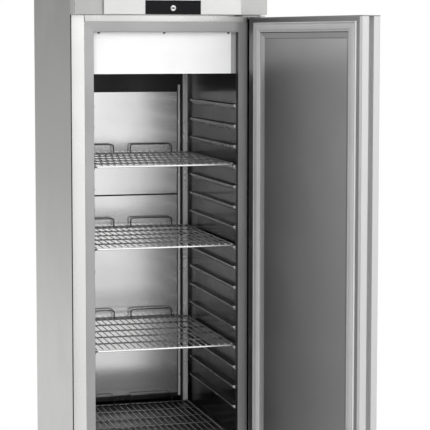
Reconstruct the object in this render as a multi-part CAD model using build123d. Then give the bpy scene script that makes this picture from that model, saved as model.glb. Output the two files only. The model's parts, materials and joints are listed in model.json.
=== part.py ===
from build123d import *
import math
import os

# Upright single-door commercial refrigerator, in millimetres.
# X points right, Y to the back and Z up. The origin lies on the floor between the four feet.

# Body shell
body_width = 595.0
body_depth = 655.0
sheet = 1.0
frame_sheet = 2.0
side_insulation = 61.5
back_insulation = 33.0
floor_insulation = 59.0
ceiling_insulation = 59.0
base_height = 140.0
base_sheet = 2.0
bay_height = 232.0
opening_height = 1278.0

# Front frame and seal strip round the opening
seal_side_width = 28.5
seal_end_width = 31.3
seal_return = 8.0
seal_depth = 27.0
top_rail_height = 21.2
top_rail_tuck = 20.0
bottom_rail_height = 46.5

# Fascia, control panel and lock
fascia_height = 109.5
fascia_depth = 67.0
fascia_wall = 1.5
panel_side_inset = 86.5
panel_proud = 12.0
display_width = 170.8
display_height = 41.5
display_proud = 0.5
display_clear = 0.1
lock_height = 18.5
lock_ring_radius = 8.75
lock_ring_thickness = 1.5
barrel_radius = 8.0
barrel_length = 24.0
barrel_clear = 0.1
plug_radius = 6.0
plug_clear = 0.05
plug_proud = 0.3
keyhole_width = 7.0
keyhole_height = 1.6
keyhole_depth = 8.0
cam_length = 40.0
cam_half_width = 6.5
cam_thickness = 3.0
cam_slot_clear = 3.0
cam_opening_clear = 1.0
box_half_width = 150.0
box_depth = 116.0
box_height = 70.0
box_setback = 6.0
box_corner = 6.0

# Shelf ledges pressed out of the side liners
ledge_pitch = 63.1
ledge_drop = 222.7
ledge_depth = 16.4
ledge_lip = 4.0
ledge_height = 17.0
ledge_setback = 2.0
ledge_rear_gap = 63.0
ledge_floor_gap = 100.0

# Back of the compartment
duct_depth = 10.0
duct_wall = 1.0
duct_edge_radius = 1.5
duct_drop = 200.3
duct_seam_drop = 552.0
duct_seam = 3.0
duct_floor_gap = 31.0
strip_gap = 3.0
strip_width = 7.0
strip_drop = 176.0
strip_corner = 3.0
post_groove = 2.0
post_groove_depth = 4.0
guide_wall = 2.0
guide_floor_gap = 21.0
guide_clear = 0.5
post_width = 16.0
post_gap = 10.0
post_side_gap = 10.0
post_depth = 13.0

# Evaporator under the ceiling
cover_side_gap = 13.0
cover_setback = 35.0
cover_rear_gap = 105.0
cover_drop = 126.8
cover_wall = 2.0
cover_screw_inset = 9.0
cover_screw_drop = 1.0
screw_head_radius = 4.5
screw_head_height = 2.5
screw_radius = 2.0
screw_length = 10.0
duct_screw_inset = 3.5
duct_screw_lift = 26.0
duct_screw_head = 2.0
duct_screw_radius = 1.0
duct_screw_length = 6.0
coil_side_gap = 21.0
coil_front_gap = 36.0
coil_rear_gap = 40.0
coil_height = 100.0
coil_fins = 24
coil_tube_radius = 5.0
coil_plate = 3.0
coil_fin = 1.0
coil_fin_foot = 8.0

# Fans
evaporator_fan_setback = 130.0
evaporator_fan_radius = 73.0
condenser_fan_radius = 88.0
fan_tip_clear = 3.0
fan_ring_wall = 3.0
fan_ring_depth = 25.0
fan_ring_gap = 2.0
fan_hub_radius = 22.0
fan_blades = 5
fan_blade_chord = 30.0
fan_blade_pitch = 35.0
fan_blade_thickness = 2.0
fan_spoke = 4.0
fan_motor_radius = 28.0
fan_motor_length = 36.0
shaft_radius = 3.0
shaft_clear = 0.05
shaft_length = 26.0

# Condensing unit in the base
condenser_side_gap = 76.5
condenser_half_width = 150.0
condenser_setback = 45.0
condenser_depth = 50.0
condenser_height = 200.0
condenser_fins = 24
fan_plate = 2.0
fan_plate_gap = 6.0
compressor_side_gap = 61.5
compressor_rear_gap = 114.0
compressor_radius = 85.0
compressor_height = 175.0
compressor_foot = 12.0
compressor_dome = 46.0
tray_side_gap = 86.5
tray_rear_gap = 84.0
tray_width = 200.0
tray_depth = 200.0
tray_height = 42.0
tray_wall = 2.0

# Grilles, mains inlet
front_slot_height = 9.0
front_slot_pitch = 20.0
front_slot_side = 49.5
front_slot_margin = 30.0
rear_slot_width = 8.0
rear_slot_pitch = 20.0
rear_slot_half_height = 70.0
rear_slot_half_width = 120.0
base_slot_half_width = 75.0
inlet_inset = 82.5
inlet_rise = 165.0
inlet_width = 32.0
inlet_height = 26.0
inlet_depth = 30.0
inlet_socket_width = 24.0
inlet_socket_height = 16.0
inlet_socket_depth = 17.0
inlet_pin_recess = 6.0
inlet_pin_thickness = 2.0
inlet_pin_width = 4.0
inlet_flange = 4.0
inlet_clear = 0.3

# Legs and levelling feet
leg_inset_x = 55.0
leg_inset_y = 60.0
leg_radius = 20.0
leg_wall = 2.0
leg_flange = 80.0
leg_flange_thickness = 3.0
leg_clearance = 30.0
leg_plug = 12.0
foot_pad_radius = 25.0
foot_pad_height = 10.0
foot_collar_radius = 17.0
foot_stud_radius = 6.0
foot_stud_clear = 0.05
foot_stud_length = 60.0
foot_stop_gap = 0.1

# Door, given closed and then turned to its photographed angle
door_open_angle = 104.6
door_gap = 5.0
door_thickness = 61.5
door_top_gap = 8.0
door_free_reveal = 1.5
hinge_inset = 13.5
hinge_forward = 33.5
door_sheet = 1.0
cap_thickness = 3.0
grip_width = 20.0
grip_wall = 2.0
grip_back_wall = 5.0
grip_recess = 16.4
grip_inner_lip = 23.2
gasket_inset_x = 8.5
gasket_width = 28.5
gasket_clear = 0.3
recess_bevel = 18.0
recess_depth = 5.0
bracket_thickness = 3.0
bracket_width = 82.0
bracket_forward = 60.0
bracket_flange = 28.0
bracket_lift = 2.5
bracket_side_clear = 0.5
bracket_floor_gap = 0.3
bracket_notch_clear = 1.0
pin_radius = 5.0
pin_depth = 22.0
bush_radius = 8.0
bush_clear = 0.05
bush_depth = 24.0
bush_flange_radius = 12.0
bush_flange = 2.0

# Wire shelves
shelf_side_clear = 2.0
shelf_setback = 24.0
shelf_rear_gap = 14.0
shelf_frame_radius = 3.0
shelf_corner = 14.0
shelf_bar_radius = 2.5
shelf_bars = 4
shelf_bar_pitch = 110.6
shelf_wire_radius = 1.6
shelf_wire_pitch = 20.4
weld_depth = 0.3
stop_wire_radius = 2.25
stop_height = 26.5
stop_width = 144.0
stop_gap = 58.8
stop_shift = -11.6
stop_corner = 10.0
stop_clear = 0.3
shelf_ledges = (3, 7, 12)

# Places that follow from the sizes above
half_width = body_width / 2
front = -body_depth / 2
back = body_depth / 2
shell_x = half_width - sheet
wall_x = shell_x - side_insulation - sheet
opening_x = wall_x - seal_return
stile_x = opening_x + seal_side_width
liner_back_y = back - 2 * sheet - back_insulation
deck_z = base_height + base_sheet + bay_height
floor_z = deck_z + sheet + floor_insulation + sheet
opening_top = floor_z + opening_height
ceiling_z = opening_top + seal_return
upper_deck_z = ceiling_z + sheet + ceiling_insulation
seal_top = opening_top + seal_end_width
seal_bottom = floor_z - seal_end_width
fascia_bottom = seal_top + top_rail_height
fascia_top = fascia_bottom + fascia_height
rail_bottom = seal_bottom - bottom_rail_height
bay_floor = base_height + base_sheet

fascia_front = front - fascia_depth
panel_front = fascia_front - panel_proud
panel_half_width = half_width - panel_side_inset
lock_z = fascia_bottom + lock_height
barrel_back = panel_front - display_proud + barrel_length
cam_front = barrel_back + plug_proud

duct_y = liner_back_y - duct_depth
guide_y = liner_back_y - guide_wall
post_x = wall_x - post_side_gap - post_width
strip_x = post_x - post_gap - strip_width
duct_half_width = strip_x - strip_gap
duct_top = opening_top - duct_drop
duct_seam_z = opening_top - duct_seam_drop
cover_y = front + cover_setback
cover_end_y = duct_y - cover_rear_gap
cover_half_width = opening_x - cover_side_gap
cover_z = opening_top - cover_drop
cover_floor = cover_z + cover_wall
evaporator_fan_y = front + evaporator_fan_setback
coil_half_width = cover_half_width - cover_wall - coil_side_gap
coil_y0 = evaporator_fan_y + evaporator_fan_radius + fan_tip_clear + fan_ring_wall + coil_front_gap
coil_y1 = cover_end_y - coil_rear_gap
condenser_x = -shell_x + condenser_side_gap + condenser_half_width
condenser_y = front + condenser_setback
fan_plate_y = condenser_y + condenser_depth + fan_plate_gap
condenser_fan_z = bay_floor + condenser_height / 2
compressor_x = shell_x - compressor_side_gap - compressor_radius
compressor_y = back - sheet - compressor_rear_gap - compressor_radius
tray_x0 = -shell_x + tray_side_gap
tray_y1 = back - sheet - tray_rear_gap
inlet_x = -half_width + inlet_inset
front_slot_half_width = stile_x - front_slot_side

door_hinge_x = half_width - hinge_inset
door_hinge_y = front - hinge_forward
door_inner = front - door_gap
door_outer = door_inner - door_thickness
door_free_x = -half_width + door_free_reveal
door_top = fascia_bottom - door_top_gap
door_bottom = floor_z - (door_top - opening_top)
door_core_top = door_top - cap_thickness
door_core_bottom = door_bottom + cap_thickness
grip_inner_x = door_free_x + grip_width
gasket_x = opening_x + gasket_inset_x
bracket_top_z = door_top + bracket_lift
bracket_bottom_z = door_bottom - bush_flange - bracket_floor_gap

ledge_y0 = front + seal_depth + ledge_setback
ledge_y1 = liner_back_y - ledge_rear_gap
ledge_count = int((opening_height - ledge_drop - ledge_floor_gap) // ledge_pitch) + 1
ledge_tops = [opening_top - ledge_drop - i * ledge_pitch for i in range(ledge_count)]
shelf_levels = [ledge_tops[i] for i in shelf_ledges] + [floor_z]
shelf_x = opening_x - shelf_side_clear
shelf_front = front + shelf_setback
shelf_back = duct_y - shelf_rear_gap


def block(x0, x1, y0, y1, z0, z1):
    """A box between two ends along each axis."""
    centre = ((x0 + x1) / 2, (y0 + y1) / 2, (z0 + z1) / 2)
    return Pos(*centre) * Box(x1 - x0, y1 - y0, z1 - z0)


def upright(x, y, z0, z1, radius):
    """A round bar standing along Z."""
    return Pos(x, y, (z0 + z1) / 2) * Cylinder(radius, z1 - z0)


def bar_along_x(y, z, x0, x1, radius):
    """A round bar lying along X."""
    return Pos((x0 + x1) / 2, y, z) * Rot(0, 90, 0) * Cylinder(radius, x1 - x0)


def bar_along_y(x, z, y0, y1, radius):
    """A round bar lying along Y."""
    return Pos(x, (y0 + y1) / 2, z) * Rot(90, 0, 0) * Cylinder(radius, y1 - y0)


def prism_along_y(points, y0, y1):
    """A closed outline of (x, z) points, drawn out from y0 to y1."""
    outline = Wire.make_polygon([(x, y0, z) for x, z in points], close=True)
    return extrude(Face(outline), amount=y1 - y0, dir=(0, 1, 0))


def both_sides(shape):
    """The shape and its mirror image on the other side of the middle plane."""
    return [shape, mirror(shape, about=Plane.YZ)]


def spread(low, high, pitch):
    """Evenly pitched places centred between low and high."""
    count = max(1, int((high - low) // pitch) + 1)
    first = (low + high - (count - 1) * pitch) / 2
    return [first + i * pitch for i in range(count)]


def save(node, *shapes):
    """Write one sub-part, which may be several separate solids."""
    solids = [solid for shape in shapes for solid in shape.solids()]
    shape = solids[0] if len(solids) == 1 else Compound(solids)
    export_step(shape, f"parts/{node}.step")


def side_panel():
    return block(shell_x, half_width, front + frame_sheet, back - sheet, base_height, fascia_top - sheet)


def stile():
    return block(stile_x, half_width, front, front + frame_sheet, base_height, fascia_top - sheet)


def rail(z0, z1):
    return block(-stile_x, stile_x, front, front + frame_sheet, z0, z1)


def seal_frame():
    """Grey strip round the opening: a face and a return, in four mitred lengths."""
    face = block(-stile_x, stile_x, front, front + frame_sheet, seal_bottom, seal_top)
    back_of_face = front + frame_sheet
    low_z = floor_z - seal_return
    returned = block(-wall_x, wall_x, back_of_face, front + seal_depth, low_z, ceiling_z)
    hole = block(-opening_x, opening_x, front, front + seal_depth, floor_z, opening_top)
    ring = face + returned - hole
    lengths = mitre_zones(opening_x, floor_z, opening_top, seal_side_width, seal_end_width)
    return [ring & prism_along_y(points, front, front + seal_depth) for points in lengths]


def mitre_zones(x, z0, z1, side, end):
    """Outlines of the four zones round an opening, parted along its corners' mitres."""
    out_x = x + 2 * side
    out_z1 = z1 + 2 * end
    out_z0 = z0 - 2 * end
    top = [(-x, z1), (x, z1), (out_x, out_z1), (-out_x, out_z1)]
    bottom = [(-x, z0), (x, z0), (out_x, out_z0), (-out_x, out_z0)]
    right = [(x, z0), (x, z1), (out_x, out_z1), (out_x, out_z0)]
    left = [(-x, z0), (-x, z1), (-out_x, out_z1), (-out_x, out_z0)]
    return [top, bottom, right, left]


def cabinet_foam():
    body = block(-shell_x, shell_x, front + frame_sheet, back - sheet, deck_z + sheet, upper_deck_z)
    skin = sheet
    cavity_floor = floor_z - skin
    cavity_x = wall_x + skin
    cavity_back = liner_back_y + skin
    cavity = block(-cavity_x, cavity_x, front, cavity_back, cavity_floor, ceiling_z + skin)
    sill = block(-wall_x, wall_x, front, front + seal_depth, floor_z - seal_return, floor_z)
    return body - cavity - sill


def side_liner():
    return block(wall_x, wall_x + sheet, front + frame_sheet, liner_back_y, floor_z - sheet, ceiling_z)


def back_liner():
    edge = wall_x + sheet
    return block(-edge, edge, liner_back_y, liner_back_y + sheet, floor_z - sheet, ceiling_z + sheet)


def ceiling_liner():
    edge = wall_x + sheet
    return block(-edge, edge, front + frame_sheet, liner_back_y, ceiling_z, ceiling_z + sheet)


def floor_liner():
    return block(-wall_x, wall_x, front + seal_depth, liner_back_y, floor_z - sheet, floor_z)


def ledges():
    """Pressed shelf ledges with a flat top and a slope back to the wall below."""
    inner_x = wall_x - ledge_depth
    rows = []
    for top in ledge_tops:
        outline = [
            (wall_x, top),
            (inner_x, top),
            (inner_x, top - ledge_lip),
            (wall_x, top - ledge_height),
        ]
        rows.append(prism_along_y(outline, ledge_y0, ledge_y1))
    return rows


def rear_post():
    """Upright corner strip with a groove down its middle."""
    x1 = post_x + post_width
    post = block(post_x, x1, liner_back_y - post_depth, liner_back_y, floor_z, ceiling_z)
    middle = (post_x + x1) / 2
    y1 = liner_back_y - post_depth + post_groove_depth
    groove = block(
        middle - post_groove / 2, middle + post_groove / 2, liner_back_y - post_depth, y1, floor_z, ceiling_z
    )
    return post - groove


def duct_panel_upper():
    """The upper panel, with a hole near each edge for its screw."""
    panel = duct_panel(duct_seam_z + duct_seam / 2, duct_top)
    for x in duct_screw_places():
        panel = panel - bar_along_y(x, duct_screw_z(), duct_y, duct_y + duct_wall, duct_screw_radius)
    return panel


def duct_panel_lower():
    return duct_panel(floor_z + duct_floor_gap, duct_seam_z - duct_seam / 2)


def duct_panel(z0, z1):
    """A panel folded back to the air guide along both sides."""
    w = duct_half_width
    outer = block(-w, w, duct_y, guide_y, z0, z1)
    front_edges = outer.edges().filter_by(Axis.Z).group_by(Axis.Y)[0]
    outer = fillet(front_edges, duct_edge_radius)
    return outer - block(-w + duct_wall, w - duct_wall, duct_y + duct_wall, guide_y, z0, z1)


def duct_side_strip():
    """Narrow upright beside the duct panels, a little taller than they are."""
    low = floor_z + guide_floor_gap
    high = opening_top - strip_drop
    strip = block(strip_x, strip_x + strip_width, duct_y, guide_y, low, high)
    corner = strip.edges().filter_by(Axis.Y).group_by(Axis.Z)[-1].sort_by(Axis.X)[0]
    return fillet(corner, strip_corner)


def air_guide():
    """Black back sheet behind the duct panels, seen above, below and beside them."""
    w = post_x - guide_clear
    return block(-w, w, guide_y, liner_back_y, floor_z + guide_floor_gap, ceiling_z)


def evaporator_cover():
    """Tray hung under the ceiling, open at the back, with a fan grille in its floor."""
    w = cover_half_width
    t = cover_wall
    tray = block(-w, w, cover_y, cover_end_y, cover_z, ceiling_z)
    inside = block(-w + t, w - t, cover_y + t, cover_end_y, cover_floor, ceiling_z)
    grille = Pos(0, evaporator_fan_y, cover_z + cover_wall / 2) * fan_grille(cover_wall)
    holes = [bar_along_y(x, screw_z(), cover_y, cover_y + cover_wall, screw_radius) for x in screw_places()]
    tray = tray - inside - grille
    for hole in holes:
        tray = tray - hole
    return tray


def fan_grille(depth):
    """The slots of a round grille: rings broken by a cross."""
    slot = evaporator_fan_radius / 6
    rings = Cylinder(slot, depth)
    for turn in (1, 2):
        inner = slot * (2 * turn)
        rings = rings + (Cylinder(inner + slot, depth) - Cylinder(inner, depth))
    arms = Box(2 * evaporator_fan_radius, fan_spoke, depth) + Box(fan_spoke, 2 * evaporator_fan_radius, depth)
    return rings - arms


def screw_places():
    x = cover_half_width - cover_screw_inset
    return [-x, 0, x]


def screw_z():
    return opening_top - cover_screw_drop


def cover_screws():
    z = screw_z()
    screws = []
    for x in screw_places():
        head = bar_along_y(x, z, cover_y - screw_head_height, cover_y, screw_head_radius)
        shank = bar_along_y(x, z, cover_y, cover_y + screw_length, screw_radius)
        screws.append(head + shank)
    return screws


def duct_screw_places():
    x = duct_half_width - duct_screw_inset
    return [-x, x]


def duct_screw_z():
    return duct_seam_z + duct_screw_lift


def duct_screws():
    screws = []
    for x in duct_screw_places():
        z = duct_screw_z()
        head = bar_along_y(x, z, duct_y - duct_screw_head, duct_y, duct_screw_head)
        shank = bar_along_y(x, z, duct_y, duct_y + duct_screw_length, duct_screw_radius)
        screws.append(head + shank)
    return screws


def finned_coil(half, depth, height, fins, plate):
    """End plates, thin fins and the tubes that run through them, standing on Z = 0."""
    end = block(half - plate, half, -depth / 2, depth / 2, 0, height)
    coil = end + mirror(end, about=Plane.YZ)
    step = 2 * (half - plate) / (fins + 1)
    for i in range(fins):
        x = -half + plate + (i + 1) * step
        coil = coil + block(x - coil_fin / 2, x + coil_fin / 2, -depth / 2, depth / 2, coil_fin_foot, height)
    for z in (height / 4, height * 3 / 4):
        for y in (-depth / 4, depth / 4):
            coil = coil + bar_along_x(y, z, -half, half, coil_tube_radius)
    return coil


def evaporator_coil():
    coil = finned_coil(coil_half_width, coil_y1 - coil_y0, coil_height, coil_fins, coil_plate)
    return Pos(0, (coil_y0 + coil_y1) / 2, cover_floor) * coil


def fan_rotor(tip_radius):
    """Hub, pitched blades and shaft. The ring's foot is at Z = 0 and the shaft points up."""
    low = fan_ring_gap
    high = fan_ring_depth - fan_ring_gap
    hub = upright(0, 0, low, high, fan_hub_radius)
    rotor = hub + upright(0, 0, high, high + shaft_length, shaft_radius)
    span = tip_radius - fan_hub_radius / 2
    for i in range(fan_blades):
        blade = Rot(fan_blade_pitch, 0, 0) * Box(span, fan_blade_chord, fan_blade_thickness)
        blade = Pos(fan_hub_radius / 2 + span / 2, 0, (low + high) / 2) * blade
        rotor = rotor + Rot(0, 0, i * 360 / fan_blades) * blade
    return rotor & upright(0, 0, low, high + shaft_length, tip_radius)


def fan_frame(tip_radius):
    """Ring, three arms and the motor with its bore, standing on Z = 0."""
    inner = tip_radius + fan_tip_clear
    outer = inner + fan_ring_wall
    frame = upright(0, 0, 0, fan_ring_depth + fan_spoke, outer) - upright(
        0, 0, 0, fan_ring_depth + fan_spoke, inner
    )
    arm_z = fan_ring_depth + fan_spoke / 2
    arm_length = inner + fan_ring_wall
    for i in range(3):
        arm = Pos(arm_length / 2, 0, arm_z) * Box(arm_length, 2 * fan_spoke, fan_spoke)
        frame = frame + Rot(0, 0, 90 + i * 120) * arm
    motor = upright(0, 0, fan_ring_depth, fan_ring_depth + fan_motor_length, fan_motor_radius)
    bore_end = fan_ring_depth - fan_ring_gap + shaft_length + fan_ring_gap
    bore = upright(0, 0, fan_ring_depth, bore_end, shaft_radius + shaft_clear)
    return frame + motor - bore


def evaporator_fan_place():
    return Pos(0, evaporator_fan_y, cover_floor)


def condenser_fan_place():
    return Pos(condenser_x, fan_plate_y + fan_plate, condenser_fan_z) * Rot(-90, 0, 0)


def condenser_coil():
    coil = finned_coil(
        condenser_half_width, condenser_depth, condenser_height, condenser_fins, coil_plate
    )
    return Pos(condenser_x, condenser_y + condenser_depth / 2, bay_floor) * coil


def condenser_fan_housing():
    """Sheet plate behind the condenser with the fan's ring and motor on it."""
    x0 = condenser_x - condenser_half_width
    x1 = condenser_x + condenser_half_width
    plate = block(x0, x1, fan_plate_y, fan_plate_y + fan_plate, bay_floor, bay_floor + condenser_height)
    inner = condenser_fan_radius + fan_tip_clear
    hole = bar_along_y(condenser_x, condenser_fan_z, fan_plate_y, fan_plate_y + fan_plate, inner)
    return plate - hole + condenser_fan_place() * fan_frame(condenser_fan_radius)


def compressor():
    """Welded pot with a domed lid on a foot plate."""
    y = compressor_y
    foot = block(
        compressor_x - compressor_radius,
        compressor_x + compressor_radius,
        y - compressor_radius,
        y + compressor_radius,
        bay_floor,
        bay_floor + compressor_foot,
    )
    z0 = bay_floor + compressor_foot
    pot = upright(compressor_x, y, z0, bay_floor + compressor_height, compressor_radius)
    rim = pot.edges().filter_by(GeomType.CIRCLE).sort_by(Axis.Z)[-1]
    return foot + fillet(rim, compressor_dome)


def evaporation_tray():
    x0 = tray_x0
    y0 = tray_y1 - tray_depth
    outer = block(x0, x0 + tray_width, y0, tray_y1, bay_floor, bay_floor + tray_height)
    inner = block(
        x0 + tray_wall,
        x0 + tray_width - tray_wall,
        y0 + tray_wall,
        tray_y1 - tray_wall,
        bay_floor + tray_wall,
        bay_floor + tray_height,
    )
    return outer - inner


def deck_plates():
    """Base plate of the machine bay and the plates below and above the foam."""
    lower = block(-shell_x, shell_x, front + frame_sheet, back - sheet, deck_z, deck_z + sheet)
    upper = block(-shell_x, shell_x, front + frame_sheet, back - sheet, upper_deck_z, upper_deck_z + sheet)
    return [base_plate(), lower, upper]


def base_plate():
    plate = block(-shell_x, shell_x, front + frame_sheet, back - sheet, base_height, bay_floor)
    x0 = condenser_x - base_slot_half_width
    x1 = condenser_x + base_slot_half_width
    half = front_slot_height / 2
    for y in spread(condenser_y, condenser_y + condenser_depth, front_slot_pitch):
        plate = plate - block(x0, x1, y - half, y + half, base_height, bay_floor)
    return plate


def front_grille():
    """Kick plate below the door with a field of long air slots."""
    plate = rail(base_height, rail_bottom)
    for z in spread(base_height + front_slot_margin, rail_bottom - front_slot_margin, front_slot_pitch):
        cut = Pos(0, front + frame_sheet / 2, z) * Rot(90, 0, 0) * extrude(
            SlotOverall(2 * front_slot_half_width, front_slot_height), frame_sheet / 2, both=True
        )
        plate = plate - cut
    return plate


def inlet_z():
    return base_height + inlet_rise


def rear_grille():
    """Back of the machine bay, with upright air slots and a window for the mains inlet."""
    plate = block(-half_width, half_width, back - sheet, back, base_height, deck_z)
    middle = (base_height + deck_z) / 2
    for x in spread(-rear_slot_half_width, rear_slot_half_width, rear_slot_pitch):
        cut = Pos(x, back - sheet / 2, middle) * Rot(90, 0, 0) * extrude(
            Rot(0, 0, 90) * SlotOverall(2 * rear_slot_half_height, rear_slot_width), sheet / 2, both=True
        )
        plate = plate - cut
    w = inlet_width / 2 + inlet_clear
    h = inlet_height / 2 + inlet_clear
    return plate - block(inlet_x - w, inlet_x + w, back - sheet, back, inlet_z() - h, inlet_z() + h)


def mains_inlet():
    """Appliance inlet: a flanged body with a socket recess and three flat pins in it."""
    z = inlet_z()
    body = block(
        inlet_x - inlet_width / 2,
        inlet_x + inlet_width / 2,
        back - inlet_depth,
        back,
        z - inlet_height / 2,
        z + inlet_height / 2,
    )
    flange = block(
        inlet_x - inlet_width / 2 - inlet_flange,
        inlet_x + inlet_width / 2 + inlet_flange,
        back,
        back + inlet_flange / 2,
        z - inlet_height / 2 - inlet_flange,
        z + inlet_height / 2 + inlet_flange,
    )
    mouth = back + inlet_flange / 2
    socket = block(
        inlet_x - inlet_socket_width / 2,
        inlet_x + inlet_socket_width / 2,
        mouth - inlet_socket_depth,
        mouth,
        z - inlet_socket_height / 2,
        z + inlet_socket_height / 2,
    )
    inlet = body + flange - socket
    drop = inlet_socket_height / 8
    for x, lift in ((-inlet_socket_width / 4, -drop), (0, drop), (inlet_socket_width / 4, -drop)):
        inlet = inlet + block(
            inlet_x + x - inlet_pin_thickness / 2,
            inlet_x + x + inlet_pin_thickness / 2,
            mouth - inlet_socket_depth,
            mouth - inlet_pin_recess,
            z + lift - inlet_pin_width / 2,
            z + lift + inlet_pin_width / 2,
        )
    return inlet


def top_cover():
    return block(-half_width, half_width, front, back, fascia_top - sheet, fascia_top)


def back_panel():
    return block(-half_width, half_width, back - sheet, back, deck_z, fascia_top - sheet)


def fascia_housing():
    """Sheet box in front of the body, open to the back, with a slot for the lock's cam."""
    t = fascia_wall
    housing = block(-half_width, half_width, fascia_front, front, fascia_bottom, fascia_top)
    housing = housing - block(
        -half_width + t, half_width - t, fascia_front + t, front, fascia_bottom + t, fascia_top - t
    )
    notch_y = front - bracket_thickness - bracket_notch_clear
    notch_x = half_width - bracket_width - bracket_notch_clear
    housing = housing - block(notch_x, half_width - t, notch_y, front, fascia_bottom, fascia_bottom + t)
    slot_x0 = -cam_length - cam_opening_clear
    slot_x1 = cam_half_width + cam_opening_clear
    slot_y0 = cam_front - cam_opening_clear
    slot_y1 = cam_front + cam_thickness + cam_opening_clear
    housing = housing - block(slot_x0, slot_x1, slot_y0, slot_y1, fascia_bottom, fascia_bottom + t)
    return housing - bar_along_y(0, lock_z, fascia_front, fascia_front + t, barrel_radius + barrel_clear)


def control_panel():
    """Tray on the fascia, notched at its lower edge for the display."""
    t = fascia_wall
    w = panel_half_width
    tray = block(-w, w, panel_front, fascia_front, fascia_bottom, fascia_top)
    tray = tray - block(-w + t, w - t, panel_front + t, fascia_front, fascia_bottom + t, fascia_top - t)
    d = display_width / 2 + display_clear
    display_top = fascia_bottom + display_height + display_clear
    return tray - block(-d, d, panel_front, fascia_front, fascia_bottom, display_top)


def display_window():
    d = display_width / 2
    face = panel_front - display_proud
    window = block(-d, d, face, fascia_front, fascia_bottom, fascia_bottom + display_height)
    hole = bar_along_y(0, lock_z, face, fascia_front, barrel_radius + barrel_clear)
    return window - hole


def lock_barrel():
    face = panel_front - display_proud
    ring = bar_along_y(0, lock_z, face - lock_ring_thickness, face, lock_ring_radius)
    body = bar_along_y(0, lock_z, face, barrel_back, barrel_radius)
    bore = bar_along_y(0, lock_z, face - lock_ring_thickness, barrel_back, plug_radius + plug_clear)
    return ring + body - bore


def lock_plug():
    face = panel_front - display_proud - lock_ring_thickness - plug_proud
    plug = bar_along_y(0, lock_z, face, cam_front, plug_radius)
    return plug - block(
        -keyhole_width / 2,
        keyhole_width / 2,
        face,
        face + keyhole_depth,
        lock_z - keyhole_height / 2,
        lock_z + keyhole_height / 2,
    )


def lock_cam():
    """Flat arm with round ends, lying to the left while unlocked."""
    near = bar_along_y(0, lock_z, cam_front, cam_front + cam_thickness, cam_half_width)
    tip_x = -cam_length + cam_half_width
    tip = bar_along_y(tip_x, lock_z, cam_front, cam_front + cam_thickness, cam_half_width)
    arm = block(
        tip_x, 0, cam_front, cam_front + cam_thickness, lock_z - cam_half_width, lock_z + cam_half_width
    )
    return near + arm + tip


def electronics_box():
    y0 = front + frame_sheet + box_setback
    z0 = upper_deck_z + sheet
    box = block(-box_half_width, box_half_width, y0, y0 + box_depth, z0, z0 + box_height)
    return fillet(box.edges().filter_by(Axis.Z), box_corner)


def hinge_bracket(plate_z, flange_z0, flange_z1):
    """Plate over or under the door, with a flange against the front frame."""
    x0 = half_width - bracket_width
    x1 = half_width - fascia_wall - bracket_side_clear
    plate = block(x0, x1, front - bracket_forward, front, plate_z, plate_z + bracket_thickness)
    flange = block(x0, x1, front - bracket_thickness, front, flange_z0, flange_z1)
    hole = upright(door_hinge_x, door_hinge_y, plate_z, plate_z + bracket_thickness, pin_radius)
    return plate + flange - hole


def hinge_brackets():
    top = hinge_bracket(bracket_top_z, bracket_top_z, bracket_top_z + bracket_flange)
    low_z = bracket_bottom_z - bracket_thickness
    bottom = hinge_bracket(low_z, bracket_bottom_z - bracket_flange, bracket_bottom_z)
    return [top, bottom]


def hinge_pins():
    top = upright(
        door_hinge_x, door_hinge_y, door_top - pin_depth, bracket_top_z + bracket_thickness, pin_radius
    )
    bottom = upright(
        door_hinge_x, door_hinge_y, bracket_bottom_z - bracket_thickness, door_bottom + pin_depth, pin_radius
    )
    return [top, bottom]


def leg_places():
    x = half_width - leg_inset_x
    y = back - leg_inset_y
    return {
        "front_left": (-x, -y),
        "front_right": (x, -y),
        "rear_left": (-x, y),
        "rear_right": (x, y),
    }


def leg(x, y):
    """Tube with a flange above and a threaded plug for the foot below."""
    top = base_height - leg_flange_thickness
    tube = upright(x, y, leg_clearance, top, leg_radius)
    tube = tube - upright(x, y, leg_clearance + leg_plug, top, leg_radius - leg_wall)
    tube = tube - upright(x, y, leg_clearance, leg_clearance + leg_plug, foot_stud_radius + foot_stud_clear)
    half = leg_flange / 2
    return tube + block(x - half, x + half, y - half, y + half, top, base_height)


def foot(x, y):
    """Pad, collar and stud, screwed fully home."""
    pad = upright(x, y, 0, foot_pad_height, foot_pad_radius)
    collar_top = leg_clearance - foot_stop_gap
    collar = upright(x, y, foot_pad_height, collar_top, foot_collar_radius)
    return pad + collar + upright(x, y, collar_top, collar_top + foot_stud_length, foot_stud_radius)


def at_rest(shape):
    """Turn a piece of the closed door to the angle it stands at."""
    turn = Pos(door_hinge_x, door_hinge_y, 0) * Rot(0, 0, door_open_angle)
    return turn * Pos(-door_hinge_x, -door_hinge_y, 0) * shape


def door_skin():
    """Outer sheet: the front face and the return along the hinge side."""
    t = door_sheet
    face = block(grip_inner_x, half_width, door_outer, door_outer + t, door_core_bottom, door_core_top)
    edge = block(half_width - t, half_width, door_outer, door_inner, door_core_bottom, door_core_top)
    return face + edge


def recess_solid(drop):
    """The tapered space of the door liner's recess, moved towards the outside by drop."""
    x = gasket_x
    z0 = floor_z
    z1 = opening_top
    mouth_y = door_inner - drop
    mouth = Plane((0, mouth_y, (z0 + z1) / 2), x_dir=(1, 0, 0), z_dir=(0, -1, 0))
    bed = Plane((0, mouth_y - recess_depth, (z0 + z1) / 2), x_dir=(1, 0, 0), z_dir=(0, -1, 0))
    wide = mouth * Rectangle(2 * x, z1 - z0)
    narrow = bed * Rectangle(2 * (x - recess_bevel), z1 - z0 - 2 * recess_bevel)
    return loft([wide.face(), narrow.face()])


def door_liner():
    """Inner sheet with its bevelled recess."""
    t = door_sheet
    x1 = half_width - door_sheet
    flange = block(grip_inner_x, x1, door_inner - t, door_inner, door_core_bottom, door_core_top)
    return flange + recess_solid(t) - recess_solid(0)


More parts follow.
